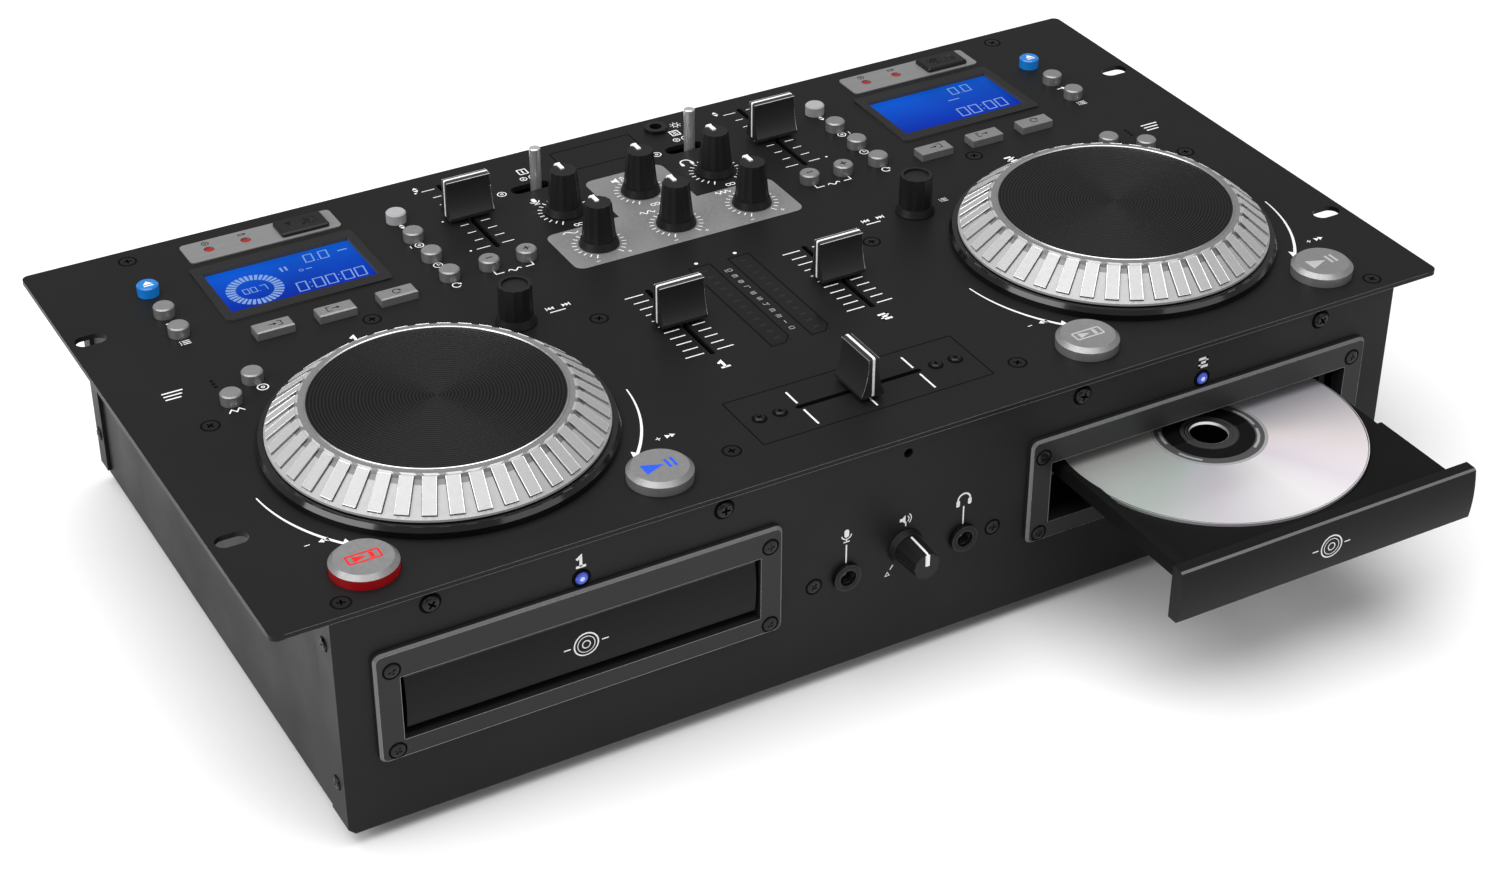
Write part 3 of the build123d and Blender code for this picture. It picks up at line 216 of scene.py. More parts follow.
glow("led", (0.03, 0.07, 0.5), 0.6, (0.01, 0.02, 0.2))
glow("led_core", (0.35, 0.5, 1.0), 1.2)
glow("led_red", (0.6, 0.0, 0.0), 0.22, (0.16, 0.005, 0.005))
# painted highlight: bright tubes round the bezels' outer edges and window edges
metal("bezel_edge_highlight", 0.2, 0.3, scale=900, depth=0.004, level=0.6)
metal("lever", 0.72, 0.3, stretch=(1, 1, 0.1), scale=2500, depth=0.006, level=0.8)
painted("hub_pale", 0.30, 0.25, 300, 0.002, specular=0.4)
painted("jack", 0.003, 0.28, 700, 0.01, specular=0.22)
painted("led_off", 0.012, 0.25, 300, 0.004, coat=0.3)
ink("white_cap", (0.85, 0.85, 0.85), 0.35)
painted("hub_clear", 0.045, 0.15, 300, 0.002, coat=0.5, specular=0.5)
painted("hub_dark", 0.006, 0.12, 300, 0.002, coat=0.3, specular=0.4)
painted("hub_grey", 0.07, 0.2, 300, 0.002, specular=0.4)
ink("plug_red", (0.45, 0.012, 0.012), 0.35)
painted("plug_white", 0.6, 0.4, 600, 0.01)


def lcd_material():
    """Backlit blue display: a slow patch of brightness, lighter towards the top."""
    s = Shade("lcd", (0.001, 0.002, 0.01), 0.2, emit=(0.001, 0.033, 0.66), emit_strength=1.0,
              specular=0.03)
    s.link(s.ramp(s.noise(25, detail=1.0), 0.85, 1.12), s.bsdf.inputs["Emission Strength"])
    s.vary_color(s.axis("Y"), (0.0, 0.024, 0.40), (0.001, 0.10, 0.62), (68 * MM, 100 * MM),
                 "Emission Color")
    s.bump(s.noise(300), 0.002)
    return s.mat


def groove_material(centre):
    """Turned black disc: concentric grooves about its centre."""
    s = Shade("grooves", grey(0.006), 0.34, specular=0.12)
    wave = s.node("ShaderNodeTexWave", {"Scale": 1.0, "Distortion": 0.0}, wave_type="RINGS",
                  rings_direction="Z")
    pitch_mm = 1.25
    scale = TAU / 20 / (pitch_mm * MM)  # the node repeats a ring every TAU / 20 of its vector
    s.link(s.mapped((scale,) * 3, centre), wave.inputs["Vector"])
    s.bump(wave.outputs["Fac"], 0.16)
    s.vary_color(wave.outputs["Fac"], grey(0.002), grey(0.010))
    return s.mat


def disc_material(centre):
    """Recorded side up: mirror metal; the bands of colour and the near-white wedge that turn round the
    centre are painted reflection.
    """
    s = Shade("disc", (0.66, 0.66, 0.68), 0.30, metal=0.6, aniso=0.75, coat=0.2)
    angle = s.node("ShaderNodeTexGradient", gradient_type="RADIAL")
    s.link(s.mapped((1, 1, 1), centre), angle.inputs["Vector"])
    ramp = s.node("ShaderNodeValToRGB")
    # colour by angle round the centre: rainbow bands and a near-white wedge of painted reflection
    reflection_stops = [(0.0, (0.70, 0.72, 0.70)), (0.08, (0.66, 0.74, 0.69)), (0.16, (0.82, 0.78, 0.84)),
             (0.22, (0.97, 0.95, 0.97)), (0.27, (0.99, 0.97, 0.98)), (0.33, (0.80, 0.74, 0.80)),
             (0.42, (0.86, 0.78, 0.79)), (0.52, (0.78, 0.76, 0.82)), (0.72, (0.88, 0.90, 0.90)),
             (0.86, (0.84, 0.76, 0.75)), (1.0, (0.70, 0.72, 0.70))]
    elements = ramp.color_ramp.elements
    while len(elements) < len(reflection_stops):
        elements.new(0.5)
    for element, (place, color) in zip(elements, reflection_stops):
        element.position = place
        element.color = (*color, 1)
    s.link(angle.outputs["Fac"], ramp.inputs["Fac"])
    s.link(ramp.outputs["Color"], s.bsdf.inputs["Base Color"])
    tangent = s.node("ShaderNodeTangent", direction_type="RADIAL", axis="Z")
    s.link(tangent.outputs["Tangent"], s.bsdf.inputs["Tangent"])
    s.bump(s.noise(500), 0.001)
    return s.mat


def skirt_material():
    """Blasted silver skirt; above the cut of the pads it turns into the grey upper ring."""
    s = Shade("skirt", (0.35, 0.35, 0.355), 0.46, metal=0.25)
    s.vary_color(s.axis("Z"), (0.35, 0.35, 0.355), (0.16, 0.16, 0.165), (13.25 * MM, 13.4 * MM))
    s.bump(s.noise(2200), 0.010)
    s.vary_rough(s.noise(600), 0.06)
    return s.mat


# ------------------------ mesh tools
def mesh_object(name, parts, material, body="console", smooth=0):
    """One mesh of several (verts, faces) parts, which rides on a body."""
    verts, faces = [], []
    for v, f in parts:
        start = len(verts)
        verts += v
        faces += [tuple(start + i for i in face) for face in f]
    mesh = bpy.data.meshes.new(name)
    mesh.from_pydata([Vector(v) * MM for v in verts], [], faces)
    mesh.validate()
    mesh.update()
    if smooth:
        mesh.shade_smooth()
        mesh.set_sharp_from_angle(angle=math.radians(smooth))
    obj = bpy.data.objects.new(name, mesh)
    bpy.context.scene.collection.objects.link(obj)
    mesh.materials.append(M[material])
    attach(obj, body)


def circle(x, y, r, n=24):
    return [(x + r * math.cos(TAU * i / n), y + r * math.sin(TAU * i / n)) for i in range(n)]


def arc(x, y, r, a0, a1, steps):
    """Points of an arc from a0 to a1 degrees, both ends included."""
    turns = [math.radians(a0 + (a1 - a0) * i / steps) for i in range(steps + 1)]
    return [(x + r * math.cos(a), y + r * math.sin(a)) for a in turns]


def rounded(x, y, w, h, r, n=5):
    pts = []
    for sx, sy, start in ((1, 1, 0), (-1, 1, 90), (-1, -1, 180), (1, -1, 270)):
        pts += arc(x + sx * (w / 2 - r), y + sy * (h / 2 - r), r, start, start + 90, n)
    return pts


class Sheet:
    """Flat shapes on a plane, gathered into one mesh. All sizes in millimetres."""

    def __init__(self, origin=(0, 0, 0), u=(1, 0, 0), v=(0, 1, 0), lift=0.04):
        self.o, self.u, self.v = Vector(origin), Vector(u), Vector(v)
        self.n = self.u.cross(self.v)
        self.lift = lift
        self.verts, self.faces = [], []
        self.at()

    def at(self, x=0.0, y=0.0, size=1.0):
        """Moves the pen's origin; shapes after it are drawn there and scaled."""
        self.px, self.py, self.size = x, y, size
        return self

    def _point(self, p):
        x, y = self.px + self.size * p[0], self.py + self.size * p[1]
        return self.o + self.u * x + self.v * y + self.n * self.lift

    def poly(self, points, holes=()):
        loops = [list(points)] + [list(h) for h in holes]
        flat = [p for loop in loops for p in loop]
        start = len(self.verts)
        self.verts += [self._point(p) for p in flat]
        for a, b, c in tessellate_polygon([[Vector((p[0], p[1], 0)) for p in loop] for loop in loops]):
            pa, pb, pc = flat[a], flat[b], flat[c]
            up = (pb[0] - pa[0]) * (pc[1] - pa[1]) - (pb[1] - pa[1]) * (pc[0] - pa[0]) > 0
            self.faces.append(tuple(start + i for i in ((a, b, c) if up else (a, c, b))))
        return self

    def bar(self, x0, y0, x1, y1, w=0.7):
        d = Vector((x1 - x0, y1 - y0))
        n = Vector((-d.y, d.x)).normalized() * w / 2
        return self.poly([(x0 - n.x, y0 - n.y), (x1 - n.x, y1 - n.y), (x1 + n.x, y1 + n.y),
                          (x0 + n.x, y0 + n.y)])

    def path(self, points, w=0.6, close=False):
        """Mitred stroke through the points."""
        pts = [Vector(p) for p in points]
        count = len(pts)
        left, right = [], []
        for i, p in enumerate(pts):
            before = pts[i - 1] if (i > 0 or close) else None
            after = pts[(i + 1) % count] if (i < count - 1 or close) else None
            a = (p - before).normalized() if before is not None else (after - p).normalized()
            b = (after - p).normalized() if after is not None else a
            t = (a + b)
            t = t.normalized() if t.length > 1e-6 else a
            n = Vector((-t.y, t.x))
            reach = w / 2 / max(0.35, n.dot(Vector((-a.y, a.x))))
            left.append(p + n * reach)
            right.append(p - n * reach)
        last = count if close else count - 1
        for i in range(last):
            j = (i + 1) % count
            self.poly([right[i], right[j], left[j], left[i]])
        return self

    def disc(self, x, y, r, n=24):
        return self.poly(circle(x, y, r, n))

    def ring(self, x, y, r, w=0.6, a0=0.0, a1=360.0, n=32):
        full = abs(a1 - a0) >= 359.9
        pts = arc(x, y, r, a0, a1, max(3, int(n * abs(a1 - a0) / 360)))
        return self.path(pts[:-1] if full else pts, w, close=full)

    def rounded(self, x, y, w, h, r):
        return self.poly(rounded(x, y, w, h, r))

    def frame(self, x, y, w, h, r, line):
        return self.poly(rounded(x, y, w, h, r),
                         [rounded(x, y, w - 2 * line, h - 2 * line, max(0.05, r - line))])

    def digits(self, text, x, y, h, w=None, t=None, gap=None, slant=0.0):
        """Squared seven-stroke figures."""
        w = w or h * 0.72
        t = t or h * 0.17
        gap = gap or t * 1.6
        widths = [t if c in ".:1" else w for c in text]
        pen = x - (sum(widths) + gap * (len(text) - 1)) / 2
        for c, cw in zip(text, widths):
            for stroke in STROKES[c]:
                ends = []
                for px, py in stroke:
                    py = (h - t) * (py - 0.5)
                    ends.append(Vector((pen + (cw - t) * px + t / 2 + slant * py, y + py)))
                d = ends[1] - ends[0]
                d = d.normalized() * t / 2 if d.length > 1e-6 else Vector((0, t / 2))
                self.bar(*(ends[0] - d), *(ends[1] + d), t)
            pen += cw + gap
        return self

    def build(self, name, material, body="console"):
        mesh_object(name, [(self.verts, self.faces)], material, body)


SEG = {"a": ((0, 1), (1, 1)), "b": ((1, 1), (1, 0.5)), "c": ((1, 0.5), (1, 0)), "d": ((0, 0), (1, 0)),
       "e": ((0, 0), (0, 0.5)), "f": ((0, 0.5), (0, 1)), "g": ((0, 0.5), (1, 0.5))}
STROKES = {c: [SEG[s] for s in segs] for c, segs in
           {"0": "abcdef", "2": "abged", "3": "abgcd", "4": "fgbc", "5": "afgcd", "6": "afgedc",
            "7": "abc", "8": "abcdefg", "9": "gfabcd", "-": "g"}.items()}
STROKES["1"] = [((0, 0), (0, 1))]
STROKES["."] = [((0, 0), (0, 0))]
STROKES[":"] = [((0, 0.25), (0, 0.25)), ((0, 0.75), (0, 0.75))]


def lathe(profile, place, n, u, steps):
    """Surface of revolution about n: (radius, height) pairs from inside to outside, top down."""
    n, u = Vector(n), Vector(u)
    v, rows = n.cross(u), len(profile)
    verts, faces = [], []
    for i in range(steps):
        a = TAU * i / steps
        spoke, j = u * math.cos(a) + v * math.sin(a), (i + 1) % steps
        verts += [Vector(place) + spoke * r + n * h for r, h in profile]
        faces += [(i * rows + k, i * rows + k + 1, j * rows + k + 1, j * rows + k) for k in range(rows - 1)]
    return verts, faces


def turned(name, profile, place, material, body="console", steps=40, n=(0, 0, 1), u=(1, 0, 0)):
    mesh_object(name, [lathe(profile, place, n, u, steps)], material, body, smooth=35)


def tube(points, r, n=6):
    """Verts and faces of a thin round bar through the points."""
    verts, faces = [], []
    pts = [Vector(p) for p in points]
    for i, p in enumerate(pts):
        a = (p - pts[i - 1]).normalized() if i else (pts[1] - p).normalized()
        b = (pts[i + 1] - p).normalized() if i < len(pts) - 1 else a
        t = (a + b).normalized()
        side = t.cross(Vector((0, 0, 1)))
        if side.length < 0.1:
            side = t.cross(Vector((0, 1, 0)))
        side.normalize()
        up = side.cross(t)
        verts += [p + (side * x + up * y) * r for x, y in circle(0, 0, 1, n)]
    return verts, bands(len(pts), n)


def bands(rows, n):
    """Faces between rows of n points each, with both ends closed."""
    faces = [(i * n + k, i * n + (k + 1) % n, (i + 1) * n + (k + 1) % n, (i + 1) * n + k)
             for i in range(rows - 1) for k in range(n)]
    return faces + [tuple(range(n)), tuple(reversed(range((rows - 1) * n, rows * n)))]


# ------------------------ finishes of the CAD pieces
def finish_node(name, *materials, pick=None):
    """Gives a CAD node its material; pick(centre, normal) returns the index of each face's material."""
    mesh = nodes[name].data
    mesh.materials.clear()
    for m in materials:
        mesh.materials.append(M[m] if isinstance(m, str) else m)
    for poly in mesh.polygons:
        poly.material_index = int(pick(Vector(poly.center) / MM, poly.normal)) if pick else 0
    mesh.shade_smooth()
    mesh.set_sharp_from_angle(angle=math.radians(32))


def usb_tongue(c, n):
    return -10.9 < c.z < 2.0 and min(abs(c.x + 131.8), abs(c.x - 169.5)) < 6.3 and abs(c.y - 115.2) < 2.6


def connector_metal(c, n):
    """Bright phono sleeves and mains pins on black bodies."""
    if c.y > 129.6 and abs(c.z + 40) < 13 and c.x < 0:
        return True
    return 100 < c.y < 125 and any(abs(c.x - x) < 2.2 and abs(c.z - z) < 3.2
                                   for x, z in ((143, -47), (157, -47), (150, -42)))


def cap_foot(c, n):
    return c.z < 1.5


for name, finish in {
        "top_panel": "panel", "front_panel": "front", "rear_panel": "front", "chassis_tray": "side",
        "rubber_feet": "rubber", "jog_rings": "ring", "display_windows": "smoke", "port_plates": "plate",
        "loader_decks": "loader", "circuit_boards": "board", "potentiometers": "nickel_and_highlight",
        "compact_disc": disc_material((HUB[0] * MM, HUB[1] * MM, 0)), "cue_button_b": "button",
        "power_switch": "socket"}.items():
    finish_node(name, finish)
for name, finish, part, pick in (
        # the chamfer faces of the bezels take the lighter grey of painted highlight
        ("tray_bezels", "bezel", "bevel_highlight", lambda c, n: c.y < -129.2 and -0.95 < n.y < -0.3),
        ("display_frames", "frame", "recess", lambda c, n: c.z < 0.4 and abs(n.z) < 0.9),
        ("usb_sockets", "socket", "nickel_and_highlight", usb_tongue),
        ("connectors", "socket", "nickel_and_highlight", connector_metal),
        ("cue_button_a", "button", "red_glow", lambda c, n: c.z < 3.2),
        ("crossfader", "fader", "nickel_and_highlight", cap_foot),
        ("blend_knob", "knob", "white_cap", lambda c, n: c.y < -144.02 and abs(c.x) < 0.8 and c.z > -48.1)):
    finish_node(name, finish, part, pick=pick)
finish_node("indicator_leds", "led_off", "led", "led_red",
            pick=lambda c, n: 1 if c.y < -120 else (2 if c.y > 100 else 0))


def pad_pick(centre, normal, deck):
    """False: skirt and upper ring, True: the pads' own faces."""
    away = Vector((centre.x - JOG[deck][0], centre.y - JOG[deck][1]))
    if away.length < 46.2:
        return False
    turn = math.atan2(away.y, away.x) % (TAU / PADS)
    off = min(turn, TAU / PADS - turn) * away.length
    out = normal.x * away.x / away.length + normal.y * away.y / away.length
    steep = abs(normal.z - 0.779) < 0.03 and abs(out - 0.626) < 0.06
    if centre.z > 14.7 and off < 2.6 and not normal.z > 0.97:
        return True
    return steep and off < 2.45 and 6.0 < centre.z < 16.4 and away.length > 49.5


def pad_lines(deck):
    """Painted shade as a dark strip round the foot of every pad of the wheel, and painted highlight as
    bright metal tubes round its top.
    """
    down, up = 0.7795, 0.6264  # cosine and sine of the skirt's slope
    foot, length, half = (59.953, 6.602), 13.768, 2.4  # a pad's foot (radius, height), run, half width
    low, wide, top = -0.32, half + 0.32, 12.7  # the reach of the painted shade below, beside and along the pad
    pad_foot_shades, edge_highlights = [], []
    for k in range(PADS):
        a = TAU * k / PADS
        out, side = Vector((math.cos(a), math.sin(a), 0)), Vector((-math.sin(a), math.cos(a), 0))

        def at(run, across, high=0.0):
            r = foot[0] - down * run + up * high
            height = Vector((0, 0, foot[1] + up * run + down * high))
            return Vector((*JOG[deck], 0)) + out * r + side * across + height

        ring = [at(top, -wide), at(low, -wide), at(low, wide), at(top, wide),
                at(top, half), at(0, half), at(0, -half), at(top, -half)]
        pad_foot_shades.append((ring, [(0, 1, 6, 7), (1, 2, 5, 6), (2, 3, 4, 5)]))
        # tubes of painted highlight along the pad's top edges
        for w in (-half, half):
            edge_highlights.append(tube([at(0, w, 0.72), at(length, w, 0.72)], 0.13, 5))
        for run, high, r in ((0, 0.72, 0.1), (length, 0.7, 0.12)):
            edge_highlights.append(tube([at(run, -half, high), at(run, half, high)], r, 5))
    mesh_object(f"jog_pad_foot_shades_{deck}", pad_foot_shades, "pad_foot_shade", WHEEL[deck])
    mesh_object(f"jog_edge_highlights_{deck}", edge_highlights, "edge", WHEEL[deck], smooth=60)


skirt_material()
for d in JOG:
    for name, finish in {
            "tray": "tray", "source_switch": "lever", "track_knob": "knob", "eject_button": "eject",
            "play_button": "button", "loop_in_button": "button", "loop_out_button": "button",
            "reloop_button": "button", "bend_down_button": "button", "bend_up_button": "button"}.items():
        finish_node(f"{name}_{d}", finish)
    finish_node(f"jog_top_{d}", groove_material((JOG[d][0] * MM, JOG[d][1] * MM, 0)))
    for name, finish, part, pick in (
            # the top front chamfer of the door takes the lighter grey of painted highlight
            ("tray_door", "door", "bevel_highlight", lambda c, n: c.z > -34 and n.z > 0.3 and n.y < -0.3),
            ("jog_wheel", "skirt", "silver", lambda c, n: pad_pick(c, n, d)),
            ("pitch_fader", "fader", "nickel_and_highlight", cap_foot), ("channel_fader", "fader", "nickel_and_highlight", cap_foot),
            ("small_buttons", "button", "pitchcap", lambda c, n: c.y > 97)):
        finish_node(f"{name}_{d}", finish, part, pick=pick)
    turned(f"jog_rim_{d}", [(45.75, 16.28), (45.85, 16.5), (46.2, 16.62), (46.55, 16.5), (46.65, 16.2)],
           (*JOG[d], 0), "nickel_and_highlight", WHEEL[d], 128)
    pad_lines(d)
for key, (x, y) in KNOBS.items():
    finish_node(f"{key}_knob", "knob", "white_cap",
                pick=lambda c, n: c.z > 18.52 and abs(c.x - x) < 0.8 and c.y > y + 0.4)

# ------------------------ signs
def sign(draw):
    """Makes a drawing round the origin into one that takes its place and size."""
    def placed(s, x, y, k=1.0, **more):
        draw(s.at(x, y, k), **more)
        s.at()
    return placed


def wave_sign(s, x, y, periods, w=6.0, h=2.2):
    steps = [i / 24 for i in range(25)]
    s.path([(x + w * (t - 0.5), y + h / 2 * math.sin(TAU * periods * t)) for t in steps], 0.5)


@sign
def speaker_sign(s):
    s.poly([(-2.2, -0.7), (-1.1, -0.7), (0.2, -1.9), (0.2, 1.9), (-1.1, 0.7), (-2.2, 0.7)])
    for r in (1.5, 2.5):
        s.ring(0.2, 0, r, 0.4, -50, 50)


@sign
def headphone_sign(s):
    s.ring(0, 0, 1.9, 0.5, 0, 180)
    for x in (-1.8, 1.8):
        s.rounded(x, -0.9, 1.1, 2.0, 0.4)


@sign
def mic_sign(s):
    s.rounded(0, 0.8, 1.5, 2.6, 0.7)
    s.ring(0, 0.5, 1.6, 0.35, 190, 350)
    s.bar(0, -1.1, 0, -2.0, 0.4)
    s.bar(-1.0, -2.0, 1.0, -2.0, 0.4)


@sign
def disc_sign(s):
    s.ring(0, 0, 1.7, 0.4)
    s.ring(0, 0, 0.5, 0.35, n=12)


@sign
def stick_sign(s):
    s.frame(-0.5, 0, 3.0, 1.6, 0.2, 0.35)
    s.rounded(1.5, 0, 0.9, 1.1, 0.1)


@sign
def plug_sign(s):
    s.ring(0, 0, 1.4, 0.4)
    s.disc(0, 0, 0.5, 12)


@sign
def clock_sign(s):
    s.ring(0, 0, 1.7, 0.35)
    s.path([(0, 1.1), (0, 0), (0.9, 0)], 0.35)


@sign
def loop_sign(s):
    s.ring(0, 0, 1.5, 0.4, 20, 320)
    s.poly([(1.9, 1.0), (0.6, 0.6), (1.9, -0.3)])


@sign
def updown_sign(s):
    for way in (-1, 1):
        s.poly([(-1.1, way * 0.4), (1.1, way * 0.4), (0, way * 1.9)])


@sign
def list_sign(s):
    for y in (-1.1, 0, 1.1):
        s.bar(-1.0, y, 1.8, y, 0.4)
        s.disc(-1.8, y, 0.28, 8)


@sign
def arrow_sign(s):
    s.bar(-1.9, 0, 0.6, 0, 0.5)
    s.poly([(0.5, -1.1), (2.0, 0), (0.5, 1.1)])


@sign
def skip_sign(s):
    for way in (-1, 1):
        for x in (way * 1.6, way * 2.9):
            s.poly([(x, -1.0), (x + way * 1.3, 0), (x, 1.0)])
        s.bar(way * 4.4, -1.0, way * 4.4, 1.0, 0.4)


@sign
def zigzag_sign(s):
    s.path([(-2.4, -0.8), (-1.2, 0.9), (0, -0.8), (1.2, 0.9), (2.4, -0.8)], 0.4)


@sign
def minus_sign(s):
    s.bar(-1.2, 0, 1.2, 0, 0.45)


@sign
def plus_sign(s):
    s.bar(-1.2, 0, 1.2, 0, 0.45)
    s.bar(0, -1.2, 0, 1.2, 0.45)


@sign
def infinity_sign(s):
    for x in (-0.85, 0.85):
        s.ring(x, 0, 0.8, 0.35, n=14)


@sign
def bracket_sign(s, way):
    """A loop's start (way 1) or end (way -1): an arrow inside a square bracket."""
    s.path([(way * 1.8, -1.5), (way * 3.4, -1.5), (way * 3.4, 1.5), (way * 1.8, 1.5)], 0.35)
    arrow_sign(s, s.px - way * 0.2, s.py, 0.8)


@sign
def deck_number(s, side):
    """Bold 1 with a foot for the left deck, bold 2 for the right one."""
    if side < 0:
        s.path([(-1.6, 1.0), (0, 2.1), (0, -2.1)], 1.1)
        s.bar(-1.9, -2.1, 1.9, -2.1, 1.0)
    else:
        s.digits("2", 0, 0, 4.6, w=4.4, t=1.1)


# ------------------------ prints on the top panel
white = Sheet()
pale = Sheet(lift=0.03)
area = Sheet(lift=0.02)
dark = Sheet(lift=0.025)


def round_corners(points, radii, n=5):
    """The outline with its corners rounded; a radius of 0 leaves a corner sharp."""
    out = []
    for i, (p, r) in enumerate(zip(points, radii)):
        p = Vector(p)
        if not r:
            out.append(tuple(p))
            continue
        a = (Vector(points[i - 1]) - p).normalized()
        b = (Vector(points[(i + 1) % len(points)]) - p).normalized()
        centre = p + (a + b) * r
        s, e = -b * r, -a * r
        start = math.atan2(s.y, s.x)
        sweep = (math.atan2(e.y, e.x) - start + math.pi) % TAU - math.pi
        out += arc(*centre, r, math.degrees(start), math.degrees(start + sweep), n)
    return out


# silver area behind the tone knobs
area.poly(round_corners([(51, 31), (51, 61.2), (17.7, 61.2), (17.7, 93.7), (-17.7, 93.7), (-17.7, 61.2),
                         (-51, 61.2), (-51, 31)], [4, 4, 0, 4, 4, 0, 4, 4]))
area.build("tone_area", "eqarea")

KNOB_TICKS = 20
for x, y in KNOBS.values():
    for i in range(KNOB_TICKS + 1):
        a = math.radians(240 - 300 * i / KNOB_TICKS)
        c, h = math.cos(a), math.sin(a)
        reach = 11.6 if i in (0, KNOB_TICKS / 2, KNOB_TICKS) else 10.9
        white.bar(x + 9.0 * c, y + 9.0 * h, x + reach * c, y + reach * h, 0.5)
    if y > 60:
        infinity_sign(white, x, y - 12.8, 1.17)
    else:
        minus_sign(white, x - 6.5, y - 12.3, 0.7)
        plus_sign(white, x + 8.0, y - 11.0, 0.7)
        wave_sign(white, x - 6.0, 59.0, 2 + (x > 1) - (x < -1), 6.5, 2.0)
mic_sign(white, -41.7, 88.8, 1.23)
speaker_sign(white, -4.5, 88.6, 1.17)
headphone_sign(white, 27.5, 88.6, 1.23)


def jog_arrow(s, cx, cy, a0, a1, r=71.5, steps=26):
    """Widening arc round a wheel from a0 to a1 degrees, with an arrow head at its end."""
    pts = arc(cx, cy, r, a0, a1, steps)
    for i, (p, q) in enumerate(zip(pts, pts[1:])):
        s.bar(*p, *q, 0.5 + 0.7 * (i + 1) / steps)
    out = Vector((math.cos(math.radians(a1)), math.sin(math.radians(a1))))
    way = 1 if a1 > a0 else -1
    along, end = Vector((-out.y, out.x)) * way, Vector(pts[-1])
    s.poly([end + along * 4.6, end + out * 0.6, end - out * 2.6 - along * 0.4])


# deck marks, pitch scales, small signs, jog arrows
for d, side in SIDES:
    for x, y in ((-146.2 if side < 0 else 146.8, 26.0), (side * 34.9, -56.0)):
        deck_number(white, x, y, side=side)
    updown_sign(white, -80.0 if side < 0 else 59.0, 121.0, 1.04)
    px = side * PITCH_X
    for i in range(9):
        y = PITCH_TOP - PITCH_STEP * i
        end = i in (0, 4, 8)
        white.bar(px - (8.4 if end else 6.2), y, px - 2.6, y, 0.42)
        white.bar(px + 2.6, y, px + (7.8 if end else 6.6), y, 0.42)
        if end:
            white.disc(px + side * 11.0, y, 0.5, 10)
    for draw, x, y, k in (
            (updown_sign, SMALL_X, 95.9, 0.98), (disc_sign, SMALL_X, 78.9, 0.98),
            (clock_sign, SMALL_X, 61.0, 1.04), (loop_sign, SMALL_X, 43.6, 1.10),
            (arrow_sign, LIST_X, 69.9, 1.04), (list_sign, LIST_X, 54.2, 1.04),
            (disc_sign, 188.5, 11.3, 1.17), (zigzag_sign, 202.5, 1.2, 1.23),
            (skip_sign, PITCH_X, 10.4, 1.10), (list_sign, 103.5, 10.2, 0.91)):
        draw(white, side * x, y, k)
    white.digits("1", side * (SMALL_X + 3.6), 78.9, 2.0)
    lo, hi = sorted((side * BEND_OUT, side * BEND_IN))
    white.path([(lo, 46.6), (lo, 43.6), (lo + 3.4, 43.6)], 0.5)
    white.path([(hi - 3.4, 43.6), (hi, 43.6), (hi, 46.6)], 0.5)
    wave_sign(white, (lo + hi) / 2, 43.6, 1.5, 5.5, 1.6)
    for i, y in enumerate((24.0, 21.8, 19.6)):
        white.bar(side * 217 - 5.5, y, side * 217 + 2.5 - i, y, 0.7)
        dark.disc(side * 203.5, y, 0.8, 12)
    white.bar(px - 4.5, 7.6, px + 2.0, 7.6, 0.6)
    cx, cy = JOG[d]
    jog_arrow(white, cx, cy, 185.0, 219.0)
    jog_arrow(white, cx, cy, -5.0, -39.0)
    # bend marks under each wheel: double triangles between minus and plus
    minus_sign(white, cx - 66.5, -88.5, 0.8)
    plus_sign(white, cx + 66.0, -88.6, 0.8)
    for x in (0.0, 1.9):
        white.at(cx + x, -88.5).poly([(-62.5, 0), (-60.6, -1.2), (-60.6, 1.2)])
        white.at(cx + x, -88.6).poly([(69.0, -1.2), (70.9, 0), (69.0, 1.2)])
    white.at()

# channel faders, level scale, crossfader
for i in range(11):
    y = CHANNEL_TOP - CHANNEL_STEP * i
    end = i in (0, 10)
    for cx in (-CHANNEL_X, CHANNEL_X):
        white.bar(cx - (10.6 if end else 9.2), y, cx - 2.8, y, 0.55)
        white.bar(cx + 2.8, y, cx + (9.6 if end else 8.2), y, 0.55)
    pale.digits(str(10 - i), 0, y, 2.0, w=2.1, t=0.27, gap=0.6)
for x in (-METER_X, METER_X):
    white.disc(x, 13.4, 0.8, 12)
for x in (-24.6, 0, 24.6):
    white.bar(x, -84.0, x, -92.3, 0.75)
    white.bar(x, -97.0, x, -107.5, 0.75)

# switch and lamp signs
for x, n in ((-37.9, "1"), (33.1, "2")):
    white.frame(x + 2.8, 114.2, 4.2, 4.6, 0.4, 0.5)
    white.digits(n, x + 2.8, 114.2, 2.8, t=0.55)
    plug_sign(white, x + 0.5, 108.3, 0.98)
    disc_sign(white, x + 4.8, 108.3, 0.98)
    disc_sign(white, x - 12.8, 100.8, 1.04)
white.at(39.5, 120.5).ring(0, 0, 1.2, 0.4)
for x, y in circle(0, 0, 1, 8):
    white.bar(1.8 * x, 1.8 * y, 2.5 * x, 2.5 * y, 0.35)
white.build("prints_top", "white")
pale.build("meter_scale", "pale")

# dark lines: edges of the pressed plates
dark.frame(0, -94.8, 97.5, 30.8, 0.8, 0.5)
dark.frame(-0.3, 114.0, 37.5, 18.0, 1.2, 0.5)
for x in (-METER_X, METER_X):
    dark.path([(x - 4.7, 10.8), (x + 4.7, 10.8), (x + 4.7, -50.0), (x + 1.2, -54.2), (x - 4.7, -54.2)],
              0.45, close=True)
dark.build("plate_lines", "hole")

# ------------------------ port plates
port = Sheet(lift=0.54)
for x in PORTS:
    disc_sign(port, x - 21.5, 120.0, 0.8)
    stick_sign(port, x - 6.3, 120.0, 0.8)
port.build("prints_ports", "hole")

